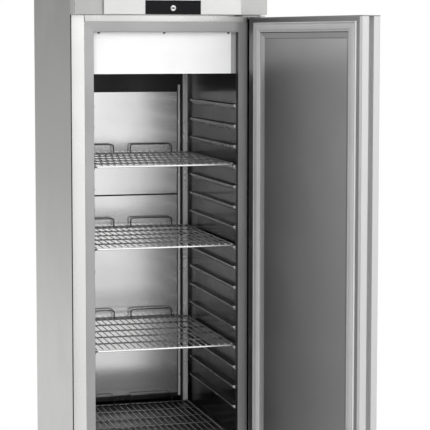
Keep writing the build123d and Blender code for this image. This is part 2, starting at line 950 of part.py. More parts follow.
def door_foam():
    t = door_sheet
    x1 = half_width - t
    foam = block(grip_inner_x, x1, door_outer + t, door_inner - t, door_core_bottom, door_core_top)
    foam = foam - recess_solid(t)
    top_bush = upright(door_hinge_x, door_hinge_y, door_top - bush_depth, door_top, bush_radius)
    bottom_bush = upright(door_hinge_x, door_hinge_y, door_bottom, door_bottom + bush_depth, bush_radius)
    return foam - top_bush - bottom_bush - cam_pocket()


def cam_pocket():
    """Where the lowered cam stands in the top of the door."""
    x = cam_half_width + cam_slot_clear
    y0 = cam_front - cam_slot_clear
    y1 = cam_front + cam_thickness + cam_slot_clear
    return block(-x, x, y0, y1, lock_z - cam_length - cam_slot_clear, door_top)


def grip_profile():
    """Hollow profile along the free edge with the finger recess in it."""
    t = grip_wall
    y_out = door_outer
    y_in = door_inner
    recess_back = y_in - grip_inner_lip
    recess_front = recess_back - grip_recess
    z0 = door_core_bottom
    z1 = door_core_top
    profile = block(door_free_x, grip_inner_x, y_out, y_in, z0, z1)
    outer_edges = profile.edges().filter_by(Axis.Z).group_by(Axis.X)[0]
    profile = fillet(outer_edges, t)
    groove = block(door_free_x, grip_inner_x - grip_back_wall, recess_front, recess_back, z0, z1)
    outer_cell = block(door_free_x + t, grip_inner_x - t, y_out + t, recess_front - t, z0, z1)
    inner_cell = block(door_free_x + t, grip_inner_x - t, recess_back + t, y_in - t, z0, z1)
    return profile - groove - outer_cell - inner_cell


def door_end_caps():
    caps = []
    for z0, z1 in ((door_bottom, door_core_bottom), (door_core_top, door_top)):
        cap = block(door_free_x, half_width, door_outer, door_inner, z0, z1)
        cap = cap - upright(door_hinge_x, door_hinge_y, z0, z1, bush_radius)
        caps.append(cap - cam_pocket())
    return caps


def door_gasket():
    """Magnetic seal round the recess, in four lengths that meet at mitred corners."""
    y1 = front - gasket_clear
    x = gasket_x
    w = gasket_width
    outer = block(-x - w, x + w, door_inner, y1, floor_z - w, opening_top + w)
    outer = fillet(outer.edges().filter_by(Axis.Y), w / 2)
    ring = outer - block(-x, x, door_inner, y1, floor_z, opening_top)
    lengths = mitre_zones(x, floor_z, opening_top, w, w)
    return [ring & prism_along_y(points, door_inner, y1) for points in lengths]


def hinge_bushes():
    bore = pin_radius + bush_clear
    top = upright(door_hinge_x, door_hinge_y, door_top - bush_depth, door_top, bush_radius)
    top = top - upright(door_hinge_x, door_hinge_y, door_top - bush_depth, door_top, bore)
    low = door_bottom - bush_flange
    bottom = upright(door_hinge_x, door_hinge_y, door_bottom, door_bottom + bush_depth, bush_radius)
    bottom = bottom + upright(door_hinge_x, door_hinge_y, low, door_bottom, bush_flange_radius)
    bottom = bottom - upright(door_hinge_x, door_hinge_y, low, door_bottom + bush_depth, bore)
    return [top, bottom]


def shelf_frame():
    """Round wire bent into a closed rectangle, resting on Z = 0."""
    r = shelf_frame_radius
    x = shelf_x - r
    y0 = shelf_front + r
    y1 = shelf_back - r
    corners = [(-x, y0, r), (x, y0, r), (x, y1, r), (-x, y1, r)]
    path = FilletPolyline(*corners, radius=shelf_corner, close=True)
    start = path ^ 0
    return sweep(start * Circle(r), path=path)


def shelf_grid():
    """Frame, cross bars below and lengthwise wires on top, welded into one piece."""
    r = shelf_frame_radius
    y0 = shelf_front + r
    y1 = shelf_back - r
    grid = shelf_frame()
    for i in range(shelf_bars):
        y = y1 - (i + 1) * shelf_bar_pitch
        z = 2 * r - shelf_bar_radius
        grid = grid + bar_along_x(y, z, -shelf_x + r, shelf_x - r, shelf_bar_radius)
    z = 2 * r + shelf_wire_radius - weld_depth
    reach = shelf_x - 2 * r - shelf_wire_radius
    for x in spread(-reach, reach, shelf_wire_pitch):
        grid = grid + bar_along_y(x, z, y0, y1, shelf_wire_radius)
    return grid


def stop_loop(x0, x1):
    """Bent wire against the shelf's rear frame wire, which keeps goods off the duct."""
    y = shelf_back - 2 * shelf_frame_radius - stop_clear - stop_wire_radius
    z0 = shelf_frame_radius
    z1 = 2 * shelf_frame_radius + 2 * shelf_wire_radius - weld_depth + stop_height
    points = [(x0, y, z0), (x0, y, z1), (x1, y, z1), (x1, y, z0)]
    path = FilletPolyline(*points, radius=stop_corner)
    start = Plane(origin=(x0, y, z0), z_dir=(0, 0, 1))
    return sweep(start * Circle(stop_wire_radius), path=path)


def wire_shelf():
    """A shelf with its bearing wires on Z = 0: the grid and two stop loops."""
    inner = stop_gap / 2
    left = stop_loop(stop_shift - inner - stop_width, stop_shift - inner)
    right = stop_loop(stop_shift + inner, stop_shift + inner + stop_width)
    return Compound([*shelf_grid().solids(), *left.solids(), *right.solids()])


def save_cabinet():
    for node, shape in (("side_panel", side_panel()), ("stile", stile()), ("liner", side_liner())):
        right, left = both_sides(shape)
        save(f"right_{node}", right)
        save(f"left_{node}", left)
    right_ledges = ledges()
    save("right_shelf_ledges", *right_ledges)
    save("left_shelf_ledges", *[mirror(row, about=Plane.YZ) for row in right_ledges])
    top_rail = rail(seal_top, fascia_bottom + top_rail_tuck)
    save("front_rails", top_rail, rail(rail_bottom, seal_bottom))
    save("seal_frame", *seal_frame())
    save("cabinet_foam", cabinet_foam())
    save("back_liner", back_liner())
    save("ceiling_liner", ceiling_liner())
    save("floor_liner", floor_liner())
    save("back_panel", back_panel())
    save("top_cover", top_cover())
    save("deck_plates", *deck_plates())
    save("legs", *[leg(x, y) for x, y in leg_places().values()])
    save("hinge_brackets", *hinge_brackets())
    save("hinge_pins", *hinge_pins())


def save_interior():
    save("rear_posts", *both_sides(rear_post()))
    save("duct_panel_upper", duct_panel_upper())
    save("duct_panel_lower", duct_panel_lower())
    save("duct_side_strips", *both_sides(duct_side_strip()))
    save("air_guide", air_guide())
    save("evaporator_cover", evaporator_cover())
    save("interior_screws", *cover_screws(), *duct_screws())
    save("evaporator_coil", evaporator_coil())
    save("evaporator_fan_frame", evaporator_fan_place() * fan_frame(evaporator_fan_radius))


def save_fascia():
    save("fascia_housing", fascia_housing())
    save("control_panel", control_panel())
    save("display_window", display_window())
    save("lock_barrel", lock_barrel())
    save("electronics_box", electronics_box())


def save_machine_bay():
    save("front_grille", front_grille())
    save("rear_grille", rear_grille())
    save("compressor", compressor())
    save("condenser_coil", condenser_coil())
    save("condenser_fan_housing", condenser_fan_housing())
    save("evaporation_tray", evaporation_tray())
    save("mains_inlet", mains_inlet())


def save_door():
    save("door_skin", at_rest(door_skin()))
    save("door_liner", at_rest(door_liner()))
    save("door_foam", at_rest(door_foam()))
    save("grip_profile", at_rest(grip_profile()))
    save("door_end_caps", *[at_rest(cap) for cap in door_end_caps()])
    save("door_gasket", *[at_rest(length) for length in door_gasket()])
    save("hinge_bushes", *[at_rest(bush) for bush in hinge_bushes()])


def save_moving():
    save("lock_plug", lock_plug())
    save("lock_cam", lock_cam())
    save("evaporator_fan_rotor", evaporator_fan_place() * fan_rotor(evaporator_fan_radius))
    save("condenser_fan_rotor", condenser_fan_place() * fan_rotor(condenser_fan_radius))
    for name, (x, y) in leg_places().items():
        save(f"foot_{name}", foot(x, y))
    shelf = wire_shelf()
    for i, level in enumerate(shelf_levels):
        save(f"wire_shelf_{i + 1}", Pos(0, 0, level) * shelf)


os.makedirs("parts", exist_ok=True)
save_cabinet()
save_interior()
save_fascia()
save_machine_bay()
save_door()
save_moving()
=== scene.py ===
import json
import math

import bmesh
import bpy
from bpy.props import FloatProperty, FloatVectorProperty, IntProperty, PointerProperty
from mathutils import Matrix, Vector


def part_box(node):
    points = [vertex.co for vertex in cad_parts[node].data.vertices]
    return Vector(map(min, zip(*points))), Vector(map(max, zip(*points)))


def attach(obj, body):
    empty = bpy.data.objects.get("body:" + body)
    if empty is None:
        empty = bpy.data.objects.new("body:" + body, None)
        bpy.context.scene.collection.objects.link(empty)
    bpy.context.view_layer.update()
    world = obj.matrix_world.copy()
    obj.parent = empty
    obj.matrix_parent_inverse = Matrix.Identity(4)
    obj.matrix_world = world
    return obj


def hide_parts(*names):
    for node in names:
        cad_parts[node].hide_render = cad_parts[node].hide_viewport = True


bl_info = {
    "name": "Commercial refrigerator",
    "version": (1, 0, 0),
    "blender": (4, 5, 0),
    "location": "View3D > Sidebar > Refrigerator",
    "description": "Finishes, fine pieces and a studio for an upright commercial refrigerator",
    "category": "Object",
}

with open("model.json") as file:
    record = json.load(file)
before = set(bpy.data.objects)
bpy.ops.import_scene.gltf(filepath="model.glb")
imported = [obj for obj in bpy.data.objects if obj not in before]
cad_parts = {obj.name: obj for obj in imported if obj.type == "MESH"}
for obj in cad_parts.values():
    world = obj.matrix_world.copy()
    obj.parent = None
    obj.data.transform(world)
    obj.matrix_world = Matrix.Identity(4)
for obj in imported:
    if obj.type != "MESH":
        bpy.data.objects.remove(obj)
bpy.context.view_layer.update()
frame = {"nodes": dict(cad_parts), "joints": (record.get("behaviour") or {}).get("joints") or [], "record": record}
cad = frame["nodes"]
record = frame["record"]
slot_of = {row["node"]: row["material_slot"] for row in record["subparts"]}
body_of = {node: body for body, members in record["behaviour"]["bodies"].items() for node in members}
joints = {joint["name"]: joint for joint in frame["joints"]}
finish_of = {}

# The door is modelled closed where that is simpler, and then turned to its place at rest
door_angle = math.radians(-joints["door_hinge"]["range_deg"][0])
hinge_at = Vector(joints["door_hinge"]["pos_m"])
door_turn = Matrix.Translation(hinge_at) @ Matrix.Rotation(door_angle, 4, "Z") @ Matrix.Translation(-hinge_at)
door_closed = door_turn.inverted()

FORWARD = (0.0, -1.0, 0.0)
BACKWARD = (0.0, 1.0, 0.0)
UPWARD = (0.0, 0.0, 1.0)

# The opening inside the seal strip, by the strip's faces above and below it and its returns at the sides
STRIP_FACE = 0.0313
STRIP_RETURN = 0.008
strip_low, strip_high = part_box("seal_frame")
opening_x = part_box("right_liner")[0].x - STRIP_RETURN
opening_foot, opening_head = strip_low.z + STRIP_FACE, strip_high.z - STRIP_FACE

# The recess inside the closed door: half its width, and the face that it is sunk into
recess_x = opening_x + 0.0085
RECESS_Y = -0.3325


# Sizes and colours that a user would change


def size(name, description, default):
    return FloatProperty(name=name, description=description, default=default, min=0.0, unit="LENGTH")


def colour(name, description, default):
    return FloatVectorProperty(
        name=name, description=description, default=default, size=3, min=0.0, max=1.0, subtype="COLOR"
    )


def level(name, description, default):
    return FloatProperty(name=name, description=description, default=default, min=0.0, max=10.0)


class FinishSettings(bpy.types.PropertyGroup):
    """Colours and gloss of the refrigerator's surfaces."""

    outer_steel: colour("Outer steel", "Side panels, door skin and fascia", (0.55, 0.55, 0.54))
    frame_steel: colour("Frame steel", "Stiles and rails round the opening", (0.80, 0.80, 0.79))
    liner_steel: colour("Liner steel", "Polished sheet of the compartment's walls", (0.30, 0.30, 0.30))
    duct_steel: colour("Duct steel", "Brighter sheet at the back of the compartment", (0.90, 0.90, 0.90))
    door_steel: colour("Door steel", "Brushed sheet on the inside of the door", (0.40, 0.40, 0.40))
    zinc: colour("Zinc sheet", "Back panel, top cover, deck plates and rear grille", (0.50, 0.51, 0.52))
    seal_strip: colour("Seal strip", "Grey plastic strip round the opening", (0.49, 0.49, 0.49))
    gasket: colour("Gasket", "Soft magnetic seal on the door", (0.52, 0.52, 0.52))
    cover_paint: colour("Evaporator cover", "White paint", (0.96, 0.96, 0.96))
    panel_paint: colour("Control panel", "Light paint round the display", (0.58, 0.58, 0.575))
    # The wire's dark colour is a painted shade, and the front rail's bright one a painted highlight
    wire: colour("Shelf wire", "Bright steel wire", (0.20, 0.20, 0.20))
    front_rail_highlight: colour("Shelf front rail", "Front rail of a shelf, rubbed bright", (0.95, 0.95, 0.95))
    grip: colour("Grip profile", "Anodised aluminium", (0.62, 0.62, 0.62))
    grain_depth: size("Grain depth", "Depth of the brushed lines", 0.00002)


class ShapeSettings(bpy.types.PropertyGroup):
    """Sizes of the fine pieces."""

    sheet_round: size("Sheet rounding", "Radius on the edges of folded sheet", 0.0005)
    corner_round: size("Corner rounding", "Radius on the outer corners of the fascia", 0.0013)
    ledge_round: size("Ledge rounding", "Radius on the pressed shelf ledges", 0.0028)
    ledge_nose: size("Ledge nose", "Radius on the ends of the pressed shelf ledges", 0.007)
    gasket_ridge: size("Gasket ridge", "Height of the gasket's magnet chamber over the door", 0.0047)
    wire_sides: IntProperty(name="Wire sides", description="Flat faces round a shelf wire", default=10, min=6)


class StudioSettings(bpy.types.PropertyGroup):
    """Floor, light and camera."""

    floor_radius: size("Floor radius", "Radius of the pale floor", 1.7)
    fade_start: size("Fade start", "Where the floor begins to turn white", 0.9)
    fade_end: size("Fade end", "Where the floor is as white as the background", 1.6)
    day_level: level("Soft level", "Strength of the even light from all round", 0.42)
    shine_level: level("Shine level", "Brightness of the surroundings that gloss mirrors", 1.1)
    key_level: level("Key level", "Brightness of the large softbox at the front right", 3.6)
    fill_level: level("Fill level", "Brightness of the soft light beside the camera", 3.2)
    top_level: level("Top level", "Brightness of the softbox overhead", 2.0)
    lens: FloatProperty(name="Lens", description="Focal length in millimetres", default=137.5, min=1.0)


# Shader node groups


def start_group(name, inputs, outputs):
    """An empty node group with its sockets, and its two end nodes."""
    group = bpy.data.node_groups.new(name, "ShaderNodeTree")
    for label, kind, value in inputs:
        socket = group.interface.new_socket(name=label, in_out="INPUT", socket_type=f"NodeSocket{kind}")
        socket.default_value = value
    for label, kind in outputs:
        group.interface.new_socket(name=label, in_out="OUTPUT", socket_type=f"NodeSocket{kind}")
    return group, group.nodes.new("NodeGroupInput").outputs, group.nodes.new("NodeGroupOutput").inputs


def add(tree, kind, **values):
    """A new node with its settings."""
    node = tree.nodes.new(kind)
    for key, value in values.items():
        setattr(node, key, value)
    return node


def put(tree, socket, value):
    """Link an output to a socket, or write a plain value on it."""
    if isinstance(value, bpy.types.NodeSocket):
        tree.links.new(value, socket)
    else:
        socket.default_value = value


def noise(tree, vector, scale, detail=3.0, roughness=0.55):
    node = add(tree, "ShaderNodeTexNoise")
    put(tree, node.inputs["Vector"], vector)
    put(tree, node.inputs["Scale"], scale)
    put(tree, node.inputs["Detail"], detail)
    put(tree, node.inputs["Roughness"], roughness)
    return node.outputs["Fac"]


def remap(tree, value, from_low, from_high, to_low, to_high):
    node = add(tree, "ShaderNodeMapRange")
    for socket, number in zip(node.inputs, (value, from_low, from_high, to_low, to_high)):
        put(tree, socket, number)
    return node.outputs["Result"]


def maths(tree, operation, first, second=0.0):
    node = add(tree, "ShaderNodeMath", operation=operation)
    put(tree, node.inputs[0], first)
    put(tree, node.inputs[1], second)
    return node.outputs[0]


def mix(tree, factor, first, second, blend="MIX"):
    node = add(tree, "ShaderNodeMix", data_type="RGBA", blend_type=blend)
    put(tree, node.inputs[0], factor)
    put(tree, node.inputs[6], first)
    put(tree, node.inputs[7], second)
    return node.outputs[2]


def object_place(tree, scale=(1.0, 1.0, 1.0)):
    """Object coordinates stretched along the axes."""
    node = add(tree, "ShaderNodeMapping")
    put(tree, node.inputs["Vector"], add(tree, "ShaderNodeTexCoord").outputs["Object"])
    put(tree, node.inputs["Scale"], scale)
    return node.outputs["Vector"]


def brushed_grain_group():
    """Fine lines along the axis whose stretch is small."""
    group, given, out = start_group(
        "Brushed grain",
        [("Stretch", "Vector", (900.0, 900.0, 12.0)), ("Contrast", "Float", 0.06)],
        [("Tone", "Float"), ("Height", "Float")],
    )
    lines = noise(group, object_place(group, given["Stretch"]), 1.0, 4.0, 0.65)
    low = maths(group, "SUBTRACT", 1.0, given["Contrast"])
    high = maths(group, "ADD", 1.0, given["Contrast"])
    put(group, out["Tone"], remap(group, lines, 0.3, 0.7, low, high))
    put(group, out["Height"], lines)


def handling_marks_group():
    """Soft patches where hands and cloths have passed."""
    group, given, out = start_group("Handling marks", [("Size", "Float", 5.0)], [("Mask", "Float")])
    broad = noise(group, object_place(group), given["Size"], 4.0, 0.6)
    put(group, out["Mask"], remap(group, broad, 0.45, 0.7, 0.0, 1.0))


def edge_wear_group():
    """The amount along worn or polished edges, and nothing on flat ground."""
    group, given, out = start_group(
        "Edge wear", [("Width", "Float", 0.001), ("Amount", "Float", 1.0)], [("Mask", "Float")]
    )
    rounded = add(group, "ShaderNodeBevel", samples=4)
    put(group, rounded.inputs["Radius"], given["Width"])
    dot = add(group, "ShaderNodeVectorMath", operation="DOT_PRODUCT")
    put(group, dot.inputs[0], rounded.outputs["Normal"])
    put(group, dot.inputs[1], add(group, "ShaderNodeNewGeometry").outputs["Normal"])
    edges = remap(group, dot.outputs["Value"], 0.99, 0.85, 0.0, 1.0)
    put(group, out["Mask"], maths(group, "MULTIPLY", edges, given["Amount"]))


def settled_dust_group():
    """Dust that lies on faces which look up."""
    group, given, out = start_group("Settled dust", [("Amount", "Float", 0.4)], [("Mask", "Float")])
    split = add(group, "ShaderNodeSeparateXYZ")
    put(group, split.inputs[0], add(group, "ShaderNodeNewGeometry").outputs["Normal"])
    up = remap(group, split.outputs["Z"], 0.5, 0.95, 0.0, 1.0)
    patches = remap(group, noise(group, object_place(group), 60.0, 5.0), 0.35, 0.65, 0.3, 1.0)
    put(group, out["Mask"], maths(group, "MULTIPLY", maths(group, "MULTIPLY", up, patches), given["Amount"]))


def moulded_grain_group():
    """The fine texture of moulded plastic, rubber and paint."""
    group, given, out = start_group(
        "Moulded grain", [("Cells", "Float", 1500.0)], [("Height", "Float"), ("Tone", "Float")]
    )
    place = object_place(group)
    put(group, out["Height"], noise(group, place, given["Cells"], 2.0))
    put(group, out["Tone"], remap(group, noise(group, place, 7.0, 3.0), 0.3, 0.7, 0.96, 1.04))


GROUPS = (brushed_grain_group, handling_marks_group, edge_wear_group, settled_dust_group, moulded_grain_group)


# Finishes

# How fine a brushed grain is along its lines and across them, and the even grain of zinc
ALONG, ACROSS = 12.0, 900.0
ALONG_X = (ALONG, ACROSS, ACROSS)
ALONG_Y = (ACROSS, ALONG, ACROSS)
ALONG_Z = (ACROSS, ACROSS, ALONG)
SPANGLE = (60.0, 60.0, 60.0)

DUST = (0.45, 0.43, 0.40)
# Near-black colour of the painted shade on the hinge-side stile
PAINTED_SHADE_BLACK = 0.02
EDGE_SHINE = 1.15


def grey(value):
    return (value, value, value)


class Finish:
    """A procedural material under construction."""

    def __init__(self, name, base, metallic=0.0):
        self.material = bpy.data.materials.new(name)
        self.material.use_nodes = True
        self.tree = self.material.node_tree
        self.shader = self.tree.nodes["Principled BSDF"]
        self.base = (*base, 1.0)
        self.set("Metallic", metallic)

    def set(self, socket, value):
        put(self.tree, self.shader.inputs[socket], value)

    def group(self, name, **values):
        """Place a node group with its values, and give its outputs."""
        node = add(self.tree, "ShaderNodeGroup", node_tree=bpy.data.node_groups[name])
        for key, value in values.items():
            put(self.tree, node.inputs[key], value)
        return node.outputs

    def tone(self, share):
        """Darken or lighten the base colour."""
        self.base = mix(self.tree, 1.0, self.base, share, "MULTIPLY")

    def lay_over(self, mask, colour):
        """Lay a colour over the base where the mask is one."""
        self.base = mix(self.tree, mask, self.base, (*colour, 1.0))

    def along(self, axis, start, end, first, last):
        """A value that goes from first to last between two places on an axis of the object."""
        split = add(self.tree, "ShaderNodeSeparateXYZ")
        put(self.tree, split.inputs[0], object_place(self.tree))
        return remap(self.tree, split.outputs[axis], start, end, first, last)

    def raised(self, height, depth):
        """Bump the surface by a height from 0 to 1, of a depth in metres."""
        node = add(self.tree, "ShaderNodeBump")
        put(self.tree, node.inputs["Height"], height)
        put(self.tree, node.inputs["Distance"], depth)
        self.set("Normal", node.outputs["Normal"])

    def grain(self, kind, depth=0.0, **values):
        """Tone the base by a grain, and raise the surface by it."""
        grain = self.group(kind, **values)
        self.tone(grain["Tone"])
        if depth:
            self.raised(grain["Height"], depth)

    def handled(self, size, low, high):
        """Roughness that goes from low to high in the patches of hand marks."""
        mask = self.group("Handling marks", Size=size)["Mask"]
        self.set("Roughness", remap(self.tree, mask, 0.0, 1.0, low, high))

    def edges(self, width, colour, amount=1.0):
        """Lay a colour along the edges, to a width."""
        self.lay_over(self.group("Edge wear", Width=width, Amount=amount)["Mask"], colour)

    def dusty(self, amount):
        """Lay dust on what looks up."""
        self.lay_over(self.group("Settled dust", Amount=amount)["Mask"], DUST)

    def across(self, spread):
        """Spread the gloss sideways, as upright brushed lines do."""
        upright = add(self.tree, "ShaderNodeCombineXYZ")
        put(self.tree, upright.inputs["Z"], 1.0)
        self.set("Tangent", upright.outputs["Vector"])
        self.set("Anisotropic Rotation", 0.25)
        self.set("Anisotropic", spread)

    def ready(self):
        self.set("Base Color", self.base)
        return self.material


def brushed_metal(name, base, rough, contrast, depth, stretch=ALONG_Z, metallic=1.0, spread=0.0, painted_shading=None):
    """Sheet with brushed lines, hand marks in its gloss and brighter edges.

    Rough is its lowest and highest roughness. Painted shading is (Z, other Z, share): a painted shade that leaves the
    colour that share at the first height and all of it at the other.
    """
    finish = Finish(name, base, metallic)
    finish.grain("Brushed grain", depth, Stretch=stretch, Contrast=contrast)
    if painted_shading:
        start, end, share = painted_shading
        # Painted shade that grows towards the first height
        finish.tone(finish.along("Z", start, end, share, 1.0))
    finish.edges(0.0012, [min(1.0, part * EDGE_SHINE) for part in base])
    finish.handled(4.0, *rough)
    if spread:
        finish.across(spread)
    return finish.ready()


def polished_metal(name, base, low, high):
    """Smooth bright metal with faint wipes in its gloss."""
    finish = Finish(name, base, metallic=1.0)
    finish.grain("Brushed grain", Stretch=ALONG_Z, Contrast=0.03)
    finish.handled(9.0, low, high)
    return finish.ready()


def hinge_side_painted_shade(name, base):
    """Frame steel with a near-black painted shade beside the seal strip, behind the hinged edge of the door."""
    finish = Finish(name, base, metallic=1.0)
    finish.grain("Brushed grain", 0.000005, Stretch=ALONG_Z, Contrast=0.03)
    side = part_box("right_stile")[0].x + 0.012
    foot, head = strip_low.z - 0.009, strip_high.z + 0.009
    soft = 0.0006
    band = finish.along("X", side, side + soft, 1.0, 0.0)
    band = maths(finish.tree, "MULTIPLY", band, finish.along("Z", foot, foot + soft, 0.0, 1.0))
    band = maths(finish.tree, "MULTIPLY", band, finish.along("Z", head, head + soft, 1.0, 0.0))
    # Painted shade: a near-black strip beside the seal strip, where the open door shades the stile
    finish.lay_over(band, grey(PAINTED_SHADE_BLACK))
    finish.handled(4.0, 0.26, 0.32)
    finish.across(0.6)
    return finish.ready()


def door_inner_steel(name, base, depth):
    """Brushed sheet with a painted shade towards the hinges and the foot, where it faces the shaded cabinet, and a
    painted sheen towards the free edge.
    """
    finish = Finish(name, base, metallic=0.9)
    finish.grain("Brushed grain", depth, Stretch=ALONG_Z, Contrast=0.03)
    free_edge, hinged_edge = (corner.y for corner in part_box("door_liner"))
    # Painted shade at the hinged edge, painted sheen at the free edge
    finish.tone(finish.along("Y", hinged_edge, free_edge, 0.66, 1.38))
    # Painted shade towards the foot
    finish.tone(finish.along("Z", 0.35, 1.3, 0.74, 1.0))
    finish.handled(4.0, 0.38, 0.44)
    finish.across(0.6)
    return finish.ready()


def shelf_wire(name, base, front):
    """Smooth wire darkened by painted shade, with a painted highlight along the front rail."""
    finish = Finish(name, base, metallic=0.9)
    finish.grain("Brushed grain", Stretch=ALONG_X, Contrast=0.04)
    front_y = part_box("wire_shelf_1")[0].y
    # Painted highlight along the front rail
    finish.lay_over(finish.along("Y", front_y + 0.007, front_y + 0.016, 1.0, 0.0), front)
    finish.handled(9.0, 0.14, 0.22)
    return finish.ready()


def satin_strip(name, base):
    """Grey plastic with a satin metal lacquer, with a painted shade of the open door on the hinge side of the opening.
    """
    finish = Finish(name, base, metallic=0.85)
    finish.grain("Brushed grain", Stretch=ALONG_Z, Contrast=0.03)
    # Painted shade on the strip's length beside the hinges
    finish.tone(finish.along("X", opening_x - 0.015, opening_x + 0.005, 1.0, 0.66))
    finish.handled(5.0, 0.32, 0.40)
    finish.across(0.9)
    return finish.ready()


def paint(name, base, roughness, wear=0.0, dust=0.0):
    """Sprayed paint with a faint peel, worn edges and settled dust."""
    finish = Finish(name, base)
    finish.grain("Moulded grain", 0.00002, Cells=500.0)
    bare, share = 0.5, 0.3
    finish.edges(0.001, [(1.0 - share) * part + share * bare for part in base], wear)
    finish.dusty(dust)
    finish.handled(6.0, roughness, roughness + 0.08)
    return finish.ready()


def plastic(name, base, roughness, cells=1800.0, dust=0.0):
    """Moulded plastic or rubber with its fine grain."""
    finish = Finish(name, base)
    finish.grain("Moulded grain", 0.00003, Cells=cells)
    finish.dusty(dust)
    finish.handled(8.0, roughness, roughness + 0.12)
    return finish.ready()


def gloss_window(name, base):
    """Dark glass-like plastic with wiped smears."""
    finish = Finish(name, base)
    finish.grain("Moulded grain", Cells=300.0)
    finish.handled(30.0, 0.08, 0.16)
    finish.set("Specular IOR Level", 0.10)
    return finish.ready()


def cut_foam(name, base):
    """Rigid foam with its cells."""
    finish = Finish(name, base)
    finish.grain("Moulded grain", Cells=200.0)
    cells = add(finish.tree, "ShaderNodeTexVoronoi")
    put(finish.tree, cells.inputs["Vector"], object_place(finish.tree))
    put(finish.tree, cells.inputs["Scale"], 700.0)
    finish.set("Roughness", remap(finish.tree, cells.outputs["Distance"], 0.0, 1.0, 0.8, 0.95))
    finish.raised(cells.outputs["Distance"], 0.0003)
    return finish.ready()


def sheet_finishes(look):
    """Brushed and polished sheets of the cabinet and the door, some with painted shade and some with painted light in
    their colour.
    """
    deep = look.grain_depth
    fine = deep / 3
    bright, satin, dull = (0.26, 0.32), (0.30, 0.36), (0.38, 0.44)
    # Painted shade on the liners, darker towards the floor below the third shelf
    foot = (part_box("wire_shelf_4")[0].z + 0.05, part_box("wire_shelf_3")[0].z, 0.25)
    # Painted shade on the side panels, darker towards the top
    top = (1.25, 0.80, 0.78)
    ledge = {"stretch": ALONG_Y, "metallic": 0.85, "spread": 0.9}
    return {
        "outer_steel": brushed_metal("Brushed outer steel", look.outer_steel, satin, 0.05, deep, spread=0.7),
        "side_steel": brushed_metal("Brushed side steel", look.outer_steel, satin, 0.05, deep, spread=0.7, painted_shading=top),
        "frame_steel": brushed_metal("Bright frame steel", look.frame_steel, bright, 0.02, deep / 4, spread=0.6),
        "liner_steel": brushed_metal(
            "Polished liner steel", look.liner_steel, (0.22, 0.27), 0.02, fine, spread=0.9, painted_shading=foot
        ),
        "duct_steel": brushed_metal(
            "Bright duct steel", look.duct_steel, (0.20, 0.24), 0.02, fine, metallic=0.9, spread=0.9
        ),
        "door_steel": door_inner_steel("Brushed door steel", look.door_steel, deep),
        "post_steel": brushed_metal("Satin post steel", grey(0.92), bright, 0.03, deep, metallic=0.5),
        # Lit and shaded copies of the door sheet: painted shade on the bevels and the flange, painted light on the
        # hinge-side bevel
        "bevel_painted_shade": brushed_metal("Bevel steel in painted shade", grey(0.36), dull, 0.03, deep, spread=0.6),
        "bevel_painted_light": brushed_metal("Bevel steel in painted light", grey(0.50), dull, 0.03, deep, metallic=0.6),
        "flange_painted_shade": brushed_metal("Flange steel in painted shade", grey(0.28), dull, 0.03, deep, spread=0.6),
        "ledge_painted_light": brushed_metal("Ledge steel in painted light", grey(0.80), (0.24, 0.30), 0.03, fine, **ledge),
        # Near-black painted shade for the compartment's floor and the ledges' tops
        "black_painted_shade": brushed_metal("Steel in black painted shade", grey(0.05), satin, 0.03, deep, ALONG_X),
        "hinge_side_painted_shade": hinge_side_painted_shade("Hinge-side frame steel in painted shade", look.frame_steel),
        "sheet_zinc": brushed_metal("Zinc coated sheet", look.zinc, (0.42, 0.55), 0.12, deep, SPANGLE),
    }


def fitting_finishes(look):
    """Metals of the small fittings, the legs, the fins and the shelves."""
    deep = look.grain_depth
    return {
        # Shelf wire in painted shade with a painted highlight on the front rail
        "wire_steel": shelf_wire("Bright shelf wire", look.wire, look.front_rail_highlight),
        "grip_aluminium": brushed_metal("Anodised grip", look.grip, (0.34, 0.40), 0.04, deep, metallic=0.7),
        "hinge_steel": brushed_metal("Plain hinge steel", grey(0.60), (0.30, 0.42), 0.08, deep, ALONG_X),
        "screw_steel": polished_metal("Dark screw steel", grey(0.20), 0.30, 0.40),
        "lock_nickel": polished_metal("Nickel lock ring", grey(0.92), 0.14, 0.22),
        "plug_dark": polished_metal("Nickel lock plug", grey(0.85), 0.18, 0.26),
        "coil_aluminium": brushed_metal("Plain aluminium fins", (0.66, 0.67, 0.68), (0.30, 0.45), 0.10, deep),
        "leg_steel": brushed_metal("Satin leg steel", grey(0.58), (0.28, 0.36), 0.06, deep),
    }


def other_finishes(look):
    """Paints, plastics, rubber and foam."""
    return {
        "seal_grey": satin_strip("Satin seal strip", look.seal_strip),
        "gasket_grey": plastic("Soft grey gasket", look.gasket, 0.50, 900.0),
        # Painted highlight on the gasket's outer bead
        "gasket_painted_highlight": plastic("Gasket rubber in painted highlight", grey(0.86), 0.45, 900.0),
        "cover_white": paint("White cover paint", look.cover_paint, 0.35),
        # Grey for the right cover trim and the fascia's tape, a painted shade
        "grey_painted_shade": plastic("Plastic in grey painted shade", grey(0.42), 0.40),
        "panel_silver": paint("Light panel paint", look.panel_paint, 0.32),
        "display_black": gloss_window("Black display window", (0.006, 0.006, 0.007)),
        "guide_black": plastic("Black air guide", grey(0.012), 0.35),
        "cap_plastic": plastic("Grey cap plastic", grey(0.22), 0.42),
        "motor_black": paint("Black machine paint", grey(0.03), 0.35, 0.5, 0.35),
        "blade_plastic": plastic("Black fan plastic", grey(0.03), 0.40, dust=0.3),
        "box_plastic": plastic("Dark box plastic", grey(0.06), 0.45, dust=0.3),
        "tray_plastic": plastic("Black tray plastic", grey(0.04), 0.40, dust=0.3),
        "foot_plastic": plastic("Black foot plastic", grey(0.03), 0.50, 1200.0, dust=0.2),
        "inlet_black": plastic("Black inlet plastic", grey(0.02), 0.45),
        "foam": cut_foam("Insulating foam", (0.80, 0.72, 0.50)),
    }


# Making by hand

DOUBLES = 0.00001


